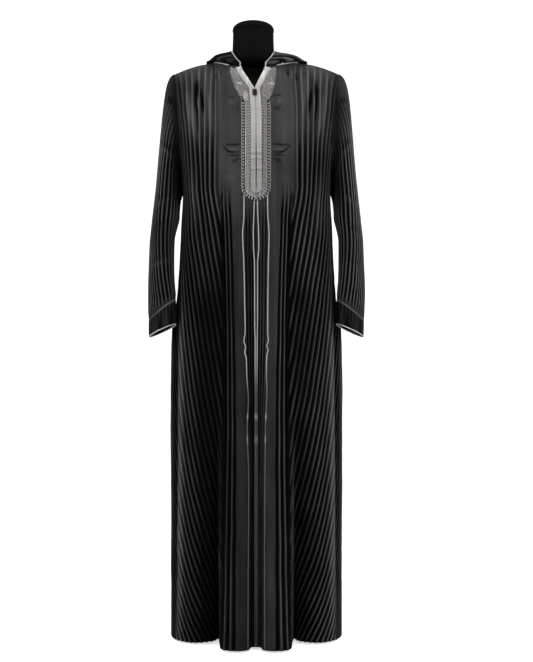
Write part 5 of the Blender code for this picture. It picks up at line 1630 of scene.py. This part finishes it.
def make_lace_ground(side, name, node):
    """The net that the motifs are worked on: pale by the band, with slots and a row of holes."""
    q = np.linspace(0, 1, 27)
    s = lace_lines[:, :1, 0] + (lace_lines[:, 2:, 0] - lace_lines[:, :1, 0]) * q
    z = lace_lines[:, :1, 1] + (lace_lines[:, 2:, 1] - lace_lines[:, :1, 1]) * q
    flare = ease((z - FLARE_START) / 30)
    ridges = 0.5 * np.exp(-((q - 0.67) / 0.06) ** 2) + 0.3 * np.exp(-((q - 0.37) / 0.2) ** 2)
    mottle = 0.35 * np.sin(s * 1.5 + side) * np.sin(z * 1.35 + 2 * side)
    points, normals = on_front(s, z, 0.9 + ridges * (1 - flare) + mottle * flare, side)
    faces = grid_faces(LACE_COUNT, len(q))
    mesh = new_mesh(name, leaned(points), faces if side < 0 else faces[:, ::-1])
    along = run_lengths(points[:, len(q) // 2])[:, None]
    half = LACE_PITCH / 2
    hole = np.exp(-(((along + 1.0) % LACE_PITCH - half) / 1.9) ** 2 - ((q - 0.09) / 0.08) ** 2)
    slot = np.exp(-(((along - 13 * q) % LACE_PITCH - half) / 0.9) ** 2) * (np.abs(q - 0.30) < 0.17)
    inner = 1 - ease((q - 0.52) / 0.08)
    plain = 0.03 + inner * np.clip(0.50 - 0.08 * side - 0.8 * hole - 0.5 * slot, 0, 1)
    net = np.sin((s + 0.5 * z) * 1.15 + side) * np.sin((z - 0.6 * s) * 1.0)
    notch = ease((q - 0.84) / 0.08) * (np.sin(along * 1.1) > 0.1)
    worked = 0.55 + 0.5 * mottle - 0.6 * hole - 0.55 * ease((np.abs(net) - 0.50) / 0.25) - 0.5 * notch
    worked = np.clip(worked, 0.03, 1)
    add_point_values(mesh, {"tone_and_painted_light": np.clip(plain * (1 - flare) + worked * flare, 0.02, 1)})
    add_uv(mesh, s * side * MM, z * MM)
    piece = finish_piece(name, mesh, LACE_FINISH, wall=0.0005)
    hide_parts(node)


CORD_STRANDS = 3
CORD_GROOVE = 0.22


def twisted_tube(path, normals, radius, pitch, step, sides=12, closed=False):
    """A tube with a turning lobed section, which reads as strands twisted round each other."""
    path = np.asarray(path, float)
    if closed:
        path, normals = np.vstack([path, path[:1]]), np.vstack([normals, normals[:1]])
    lengths = run_lengths(path)
    count = max(8, round(lengths[-1] / step))
    at = np.linspace(0, lengths[-1], count + (not closed))[:count + (not closed)]
    if closed:
        at = at * (count - 1) / count
    centre = read_along(at, lengths, path)
    over = read_along(at, lengths, np.asarray(normals))
    if closed:
        ahead = unit(np.roll(centre, -1, axis=0) - np.roll(centre, 1, axis=0))
        twist = 2 * math.pi * np.arange(len(at)) / len(at) * max(1, round(lengths[-1] / pitch))
    else:
        ahead = unit(np.gradient(centre, axis=0))
        twist = 2 * math.pi * at / pitch
    aside = unit(np.cross(ahead, over))
    over = np.cross(aside, ahead)
    angle = 2 * math.pi * np.arange(sides) / sides
    lobes = np.abs(np.cos(CORD_STRANDS / 2 * (angle[None, :] - twist[:, None] / CORD_STRANDS)))
    size = radius * (1 - CORD_GROOVE + CORD_GROOVE * lobes)
    points = centre[:, None] + size[..., None] * (aside[:, None] * np.cos(angle)[None, :, None]
                                                  + over[:, None] * np.sin(angle)[None, :, None])
    faces = []
    rings = len(at)
    for i in range(rings if closed else rings - 1):
        k = np.arange(sides)
        a, b = i * sides + k, i * sides + (k + 1) % sides
        c, d = (i + 1) % rings * sides + (k + 1) % sides, (i + 1) % rings * sides + k
        faces.append(np.stack([a, d, c, b], axis=1))
    return points.reshape(-1, 3), np.concatenate(faces), np.repeat(at, sides), (size / radius).ravel()


def padded_patch(s, z, length, width, turn, side, rise=1.6):
    """A satin-stitched oval: (s, z) of its middle, its size and its turn in degrees."""
    rings, spokes = 7, 36
    share = np.linspace(0, 1, rings)[:, None]
    angle = 2 * math.pi * np.arange(spokes)[None, :] / spokes
    a, b = share * length / 2 * np.cos(angle), share * width / 2 * np.sin(angle)
    turn = math.radians(turn)
    patch_s = s + a * math.cos(turn) - b * math.sin(turn)
    patch_z = z + a * math.sin(turn) + b * math.cos(turn)
    lift = 1.6 + rise * np.sqrt(np.clip(1 - share**2, 0, 1)) + 0.12 * np.sin(a * 5) * (1 - share)
    points, normals = on_front(patch_s, patch_z, lift, side)
    i, j = np.meshgrid(np.arange(rings - 1), np.arange(spokes), indexing="ij")
    low, high = i * spokes + j, i * spokes + (j + 1) % spokes
    faces = np.stack([low, low + spokes, high + spokes, high], axis=-1).reshape(-1, 4)
    return new_mesh("patch", leaned(points), faces if side > 0 else faces[:, ::-1])


def single(s, z, side, lift, heading):
    """One place on the front, heading in degrees from straight outwards."""
    point, normal = on_front(np.array([s]), np.array([z]), lift, side)
    outward, _ = on_front(np.array([s + 2.0]), np.array([z]), lift, side)
    upward, _ = on_front(np.array([s]), np.array([z + 2.0]), lift, side)
    turn = math.radians(heading)
    return Row(point, (outward - point) * math.cos(turn) + (upward - point) * math.sin(turn), normal)


def net_rows(side):
    """Loose rows of small eyes that fill a flare, shifted by uneven amounts."""
    rows = []
    for k, q in enumerate((0.18, 0.50, 0.80)):
        row = lace_row(q, side, 1.7, 7.6, 3.1 * k + (side > 0) * 0.9, FLARE_START + 12, 1441)
        jitter = 0.5 * np.sin(row.places[:, 2:] * (1.7 + 0.3 * k) + side)
        rows.append(Row(row.places + unit(row.aheads) * jitter, row.aheads, row.normals))
    return joined_rows(*rows)


def raised_cord(row):
    points, faces, *_ = twisted_tube(row.places, row.normals, 1.15, 6.0, 1.2, sides=10)
    return new_mesh("raised cord", leaned(points), faces)


def make_lace_work(side, name):
    """All the motifs of one side, joined to one mesh."""
    meshes = [
        copies(LOOP, lace_row(0.83, side, 1.7, LOOP_PITCH, 2.0, high=FLARE_START), twist=math.pi / 2),
        copies(KNOT, lace_row(0.98, side, 2.0, LOOP_PITCH, 2.0, high=FLARE_START), 0.9),
        copies(EYE, lace_row(0.10, side, 1.7, LACE_PITCH, 3.0, high=FLARE_START + 10)),
        raised_cord(lace_row(0.53, side, 2.1, 1.2, 0.3, high=FLARE_START + 8)),
        copies(STRAND, lace_row(0.31, side, 1.6, LACE_PITCH, 0.6, high=FLARE_START + 4),
               sizes=(0.8, 1.25, 1.3), twist=side * math.radians(52)),
        copies(EYE, net_rows(side), 1.2, twist=side * 0.6),
        copies(PICOT, lace_row(1.02, side, 1.3, FLARE_PITCH, 1.0, low=FLARE_START + 16), 1.3),
        copies(KNOT, lace_row(0.95, side, 1.8, FLARE_PITCH, 1.0, low=FLARE_START + 2)),
        copies(KNOT, lace_row(0.02, side, 1.8, 3.1, 1.0, low=FLARE_START + 12), 0.8),
    ]
    if side < 0:
        meshes.append(padded_patch(36.3, 1392.7, 16, 8, 15, side))
        meshes.append(padded_patch(24.3, 1357.5, 25, 13, 96, side, 1.0))
        meshes.append(copies(EYE, single(42.5, 1380.9, side, 2.6, 0), 1.5))
    else:
        meshes.append(padded_patch(42.5, 1392.7, 18, 9, 4, side))
        meshes.append(padded_patch(43.7, 1404.5, 11, 4.5, 92, side))
        meshes.append(copies(EYE, single(49.0, 1432.0, side, 2.6, 0), 1.6))
        fan = [single(24.5 + 2.3 * k, 1364.0 - 0.9 * abs(k - 1) - 1.5 * k, side, 2.2, 102 - 9 * k)
               for k in range(-3, 5)]
        meshes.append(copies(STRAND, joined_rows(*fan), sizes=(1.9, 0.9, 1.1)))
    mesh = join_meshes(name, meshes)
    count = len(mesh.vertices)
    places = np.empty(count * 3)
    mesh.vertices.foreach_get("co", places)
    places = places.reshape(-1, 3)
    mottle = 0.28 * np.sin(places[:, 2] * 900 + places[:, 0] * 700) * np.sin(places[:, 2] * 310)
    tone = 0.70 - 0.07 * side + mottle
    add_point_values(mesh, {"tone_and_painted_light": np.clip(tone, 0, 1)})
    for layer in list(mesh.uv_layers):
        mesh.uv_layers.remove(layer)
    add_uv(mesh, places[:, 0], places[:, 2])
    finish_piece(name, mesh, LACE_FINISH, weld=0.0)
    print(name, len(mesh.polygons), "faces")


for side, label in SIDES:
    make_lace_ground(side, f"lace_ground_{label}", f"lace_{label}")
for side, label in SIDES:
    make_lace_work(side, f"lace_work_{label}")

# %% [markdown]
# Cords are strands twisted together. A tube with a three-lobed section that turns along its
# path gives the twist without modelling a strand at a time, and its grooves are painted
# darker, painted shade. The long cords on the front wander a little where they are only held
# by small stitches, and are painted darker lower down, painted shade where the pleats stand
# over them, with a few painted highlights.
# %% Cords
# How far a cord is from the centre line, by height, in millimetres.
OUTER_PATHS = {
    1: ((1104, 27.8), (1060, 28.5), (1005, 31.5), (940, 30.0), (870, 28.8), (765, 28.0), (744, 29.6),
        (731, 26.2), (720, 28.8), (708, 26.0), (662, 25.0), (620, 26.4), (570, 24.4), (532, 23.4),
        (416, 22.5), (200, 22.0), (9, 22.5)),
    -1: ((1104, 29.6), (1050, 29.8), (1005, 32.8), (940, 29.8), (870, 28.0), (815, 26.8), (766, 25.8),
         (742, 29.0), (728, 25.0), (716, 26.6), (700, 23.2), (660, 22.0), (600, 18.8), (532, 21.4),
         (416, 18.6), (200, 19.5), (9, 20.0)),
}
CENTRE_PATHS = {
    1: ((1090, 3.0), (1050, 4.4), (1010, 6.2), (975, 6.8), (935, 3.9), (780, 3.5), (740, 2.8), (560, 2.4),
        (300, 2.5), (9, 2.6)),
    -1: ((1090, 4.6), (1046, 5.8), (1012, 6.8), (975, 6.2), (925, 3.6), (780, 2.9), (740, 1.9),
         (560, 1.7), (300, 2.0), (9, 2.4)),
}
CORD_RADIUS = 1.55
CORD_PITCH = 7.0
CORD_STEP = 1.3


def make_cord(name, node, path, normals, radius, tone, closed=False):
    """A twisted cord through its path in millimetres; tone gives its paleness by height."""
    points, faces, along, size = twisted_tube(path, normals, radius, CORD_PITCH, CORD_STEP, closed=closed)
    mesh = new_mesh(name, leaned(points), faces)
    z = points[:, 2]
    # The grooves between the strands are painted darker: painted shade.
    lobe = (size - (1 - CORD_GROOVE)) / CORD_GROOVE
    add_point_values(mesh, {"tone_and_painted_light": np.clip(tone(z) * (lobe * 0.75 + 0.25), 0, 1)})
    add_uv(mesh, along * MM, size * 0.004)
    piece = finish_piece(name, mesh, CORD_FINISH)
    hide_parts(node)


def long_tone_with_painted_shade(z):
    """Pale above the knee, then darker, painted shade where the pleats stand over the cord, with a few
    painted highlights.
    """
    painted_highlights = 0.5 * np.exp(-((z - 560) / 7) ** 2) + 0.3 * np.exp(-((z - 505) / 9) ** 2)
    return np.clip(0.08 + 0.50 * ease((z - 600) / 110) + painted_highlights, 0, 0.7)


def front_cord(side, label, paths, top, name, node):
    z = np.linspace(top, 9.0, 500)
    heights, places = zip(*sorted(paths[side]))
    s = [s_of_x(x, height) for x, height in zip(passing_through(heights, places)(z), z)]
    points, normals = on_front(s, z, 2.0, side)
    make_cord(f"{name}_{label}", f"{node}_{label}", points, normals, CORD_RADIUS, long_tone_with_painted_shade)


def even_tone(z):
    return np.full(len(z), 0.85)


def neck_piping(side, label):
    """The cord along the neckline's front seam, under the hood."""
    s = np.linspace(60, 112, 60)
    top = top_of(s, False)
    points, normals = on_front(s, top[:, 2] - 3.6, 1.9, side)
    make_cord(f"neck_piping_{label}", f"piping_neck_{label}", points, normals, 1.5, even_tone)


def cuff_cord(side, label):
    ring = ring_around(SLEEVE_RINGS[0], 96, -SEAM_GAP - 1.5)
    middle = ring.mean(axis=0)
    ring = middle + (ring - middle) * (1 - 1.0 / 40)
    normals = unit((ring - middle) * np.array([1, 1, 0]))
    mirror = np.array([side, 1, 1])
    make_cord(f"cuff_piping_{label}", f"cord_cuff_{label}", ring * mirror, normals * mirror,
              CORD_RADIUS, even_tone, closed=True)


def hood_cord():
    """The cord along the hood's face edge, from one front corner round to the other."""
    grid = hood_grid()
    rim, inside = grid[:, -1], grid[:, -4]
    along = np.gradient(rim, axis=0)
    ahead = rim - inside
    ahead = unit(ahead - along * ((ahead * along).sum(axis=1) / (along * along).sum(axis=1))[:, None])
    path = rim + ahead * 1.9
    normals = unit(np.cross(along, ahead))
    corner, facing = on_front(np.array([27.5, 29.5, 31.5]), np.array([1431, 1436, 1441]), 3.6)
    tail = {side: corner * np.array([side, 1, 1]) for side in (1, -1)}
    path = np.concatenate([tail[1], path, tail[-1][::-1]])
    normals = np.concatenate([facing, normals, (facing * np.array([-1, 1, 1]))[::-1]])
    make_cord("hood_edge_cord", "cord_hood", path, normals, CORD_RADIUS, even_tone)


for side, label in SIDES:
    front_cord(side, label, OUTER_PATHS, LACE_FOOT + 11, "outer_cord", "cord_outer")
    front_cord(side, label, CENTRE_PATHS, LACE_FOOT - 3, "centre_cord", "cord_centre")
    neck_piping(side, label)
    cuff_cord(side, label)
hood_cord()
print("cords made")

# %% [markdown]
# The dress form is smooth, so it is a stack of ovals with a curve through them. Only its neck
# and cap show, with the seam round the neck and the join under the cap. The pole and the base
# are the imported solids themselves, painted and given rounded edges.
# %% Form and stand
FormRing = namedtuple("FormRing", "height half_width front_y back_y")
TORSO_RINGS = (
    FormRing(760, 150, -92, 108),
    FormRing(860, 158, -102, 116),
    FormRing(960, 140, -92, 98),
    FormRing(1060, 122, -80, 84),
    FormRing(1150, 134, -92, 88),
    FormRing(1240, 160, -108, 92),
    FormRing(1320, 176, -94, 90),
    FormRing(1390, 188, -62, 64),
    FormRing(1423, 189, -36, 40),
    FormRing(1443, 187, -19, 27),
    FormRing(1458.2, 180, -9, 19),
    FormRing(1462.4, 145, -17, 24),
    FormRing(1466, 110, -26, 34),
    FormRing(1471, 84, -36, 46),
    FormRing(1483, 64, -44, 54),
    FormRing(1504, 55, -46, 54),
    FormRing(1530, 53.5, -46, 53),
    FormRing(1558, 53, -46, 52),
)
CAP_RINGS = (
    FormRing(1558.3, 53.5, -46.5, 52.5),
    FormRing(1562, 54.4, -47.4, 53.4),
    FormRing(1567, 53.6, -46.6, 52.6),
    FormRing(1573.5, 49.5, -42.5, 48.5),
    FormRing(1578, 42, -35, 41),
    FormRing(1582.5, 28, -21, 27),
    FormRing(1585, 12, -6, 12),
)
FORM_SIDE_Y = 6.0
FORM_SPOKES = 96
NECK_SEAM = 1483.8


def stacked(name, rings, rows, node):
    """A closed smooth body through its rings, with flat ends."""
    values = np.array(rings, float)
    places = run_lengths(values[:, :2])
    fine = passing_through(places, values)(np.linspace(0, places[-1], rows))
    angle = 2 * math.pi * np.arange(FORM_SPOKES) / FORM_SPOKES
    height, half_width, front_y, back_y = (fine[:, k:k + 1] for k in range(4))
    centre_seam = 0.5 * np.exp(-((np.cos(angle) / 0.012) ** 2)) * (height < NECK_SEAM)
    groove = 0.7 * np.exp(-((height - NECK_SEAM) / 0.9) ** 2) + centre_seam
    y = np.where(np.sin(angle) > 0, back_y - FORM_SIDE_Y, FORM_SIDE_Y - front_y) * np.sin(angle)
    shrink = 1 - groove / half_width
    points = np.stack([half_width * np.cos(angle) * shrink, FORM_SIDE_Y + y * shrink,
                       np.broadcast_to(height, y.shape)], axis=-1)
    ends = [np.broadcast_to(points[row].mean(axis=0), points[row].shape) for row in (0, -1)]
    points = np.concatenate([[ends[0]], points, [ends[1]]]).transpose(1, 0, 2)
    mesh = new_mesh(name, leaned(points), grid_faces(FORM_SPOKES, rows + 2, closed=True))
    piece = finish_piece(name, mesh, JERSEY_FINISH)
    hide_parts(node)
    return piece


stacked("form_skin", TORSO_RINGS, 170, "form_torso")
neck_cap = stacked("neck_cap", CAP_RINGS, 40, "form_cap")
for name in ("form_pole", "form_base"):
    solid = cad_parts[name]
    solid.data.materials.clear()
    solid.data.materials.append(STEEL_FINISH)
    edges = solid.modifiers.new("rounded edges", "BEVEL")
    edges.width = 0.0012
    edges.segments = 2
print("form to", round(max(v.co.z for v in neck_cap.data.vertices), 3), "m")

# %% [markdown]
# The slider and its tab are small castings, so their edges are rounded. The slider stays on the
# zip; the tab's hole leaves it free to turn on the slider's pin.
# %% Slider, tab and zip


def rounded_copy(node, name, body, width):
    """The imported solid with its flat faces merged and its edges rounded."""
    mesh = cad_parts[node].data.copy()
    mesh.name = name
    work = bmesh.new()
    work.from_mesh(mesh)
    bmesh.ops.remove_doubles(work, verts=work.verts, dist=0.00001)
    bmesh.ops.dissolve_limit(work, angle_limit=math.radians(8), verts=work.verts, edges=work.edges)
    work.to_mesh(mesh)
    work.free()
    mesh.materials.clear()
    mesh.materials.append(BRONZE_FINISH)
    mesh.shade_smooth()
    piece = bpy.data.objects.new(name, mesh)
    piece.matrix_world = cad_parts[node].matrix_world.copy()
    bpy.context.scene.collection.objects.link(piece)
    edges = piece.modifiers.new("rounded edges", "BEVEL")
    edges.width = width
    edges.segments = 3
    edges.limit_method = "ANGLE"
    edges.angle_limit = math.radians(35)
    edges.harden_normals = True
    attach(piece, body)
    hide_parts(node)


rounded_copy("zip_slider", "slider_casting", BODY, 0.00045)
rounded_copy("zip_pull", "tab_casting", TAB, 0.00030)
ZIP_PITCH = 1.7
zip_z = np.arange(BAND_FOOT + 4, 1366, ZIP_PITCH)
zip_places, zip_normals = on_front(np.zeros(len(zip_z)), zip_z, 0.7)
zip_aheads = np.gradient(zip_places, axis=0)
TOOTH = swept_template("zip tooth", ((0, -1.1, 0), (0, -0.5, 0.25), (0, 0.5, 0.25), (0, 1.1, 0)),
                       (0.35, 0.45, 0.45, 0.35), 5, False)
zip_mesh = copies(TOOTH, Row(zip_places, zip_aheads, zip_normals), 0.7)
finish_piece("zip_coil", zip_mesh, BRONZE_FINISH, weld=0.0)
print("zip teeth:", len(zip_z))


STITCH_PITCH = 2.9
STITCH_LINES = (3.1, 11.7)
STITCH_LIFT = 1.75


def stitch_row(side, s):
    z = np.arange(BAND_FOOT + 16, FLARE_START, STITCH_PITCH)
    places, normals = on_front(np.full(len(z), s), z, STITCH_LIFT, side)
    return Row(places, np.gradient(places, axis=0), normals)


stitches = [copies(STITCH, stitch_row(side, s)) for side, label in SIDES for s in STITCH_LINES]
stitch_mesh = join_meshes("band_stitches", stitches)
stitch_height = np.array([v.co.z for v in stitch_mesh.vertices])
add_point_values(stitch_mesh, {"tone_and_painted_light": np.full(len(stitch_height), 0.55)})
add_uv(stitch_mesh, stitch_height, stitch_height)
finish_piece("band_stitches", stitch_mesh, CORD_FINISH, weld=0.0)
for shape in (LOOP, EYE, KNOT, STRAND, PICOT, STITCH, TOOTH):
    bpy.data.objects.remove(shape, do_unlink=True)

# %% [markdown]
# A cut size is the size a piece of cloth was cut to before it was hung: its greatest
# width and length, with the pleats opened out flat, and its area, since none is a rectangle.
# A sleeve or a cuff is a tube, so its width goes all round.
# %% Cut sizes
Cut = namedtuple("Cut", "width length area held rests_on")
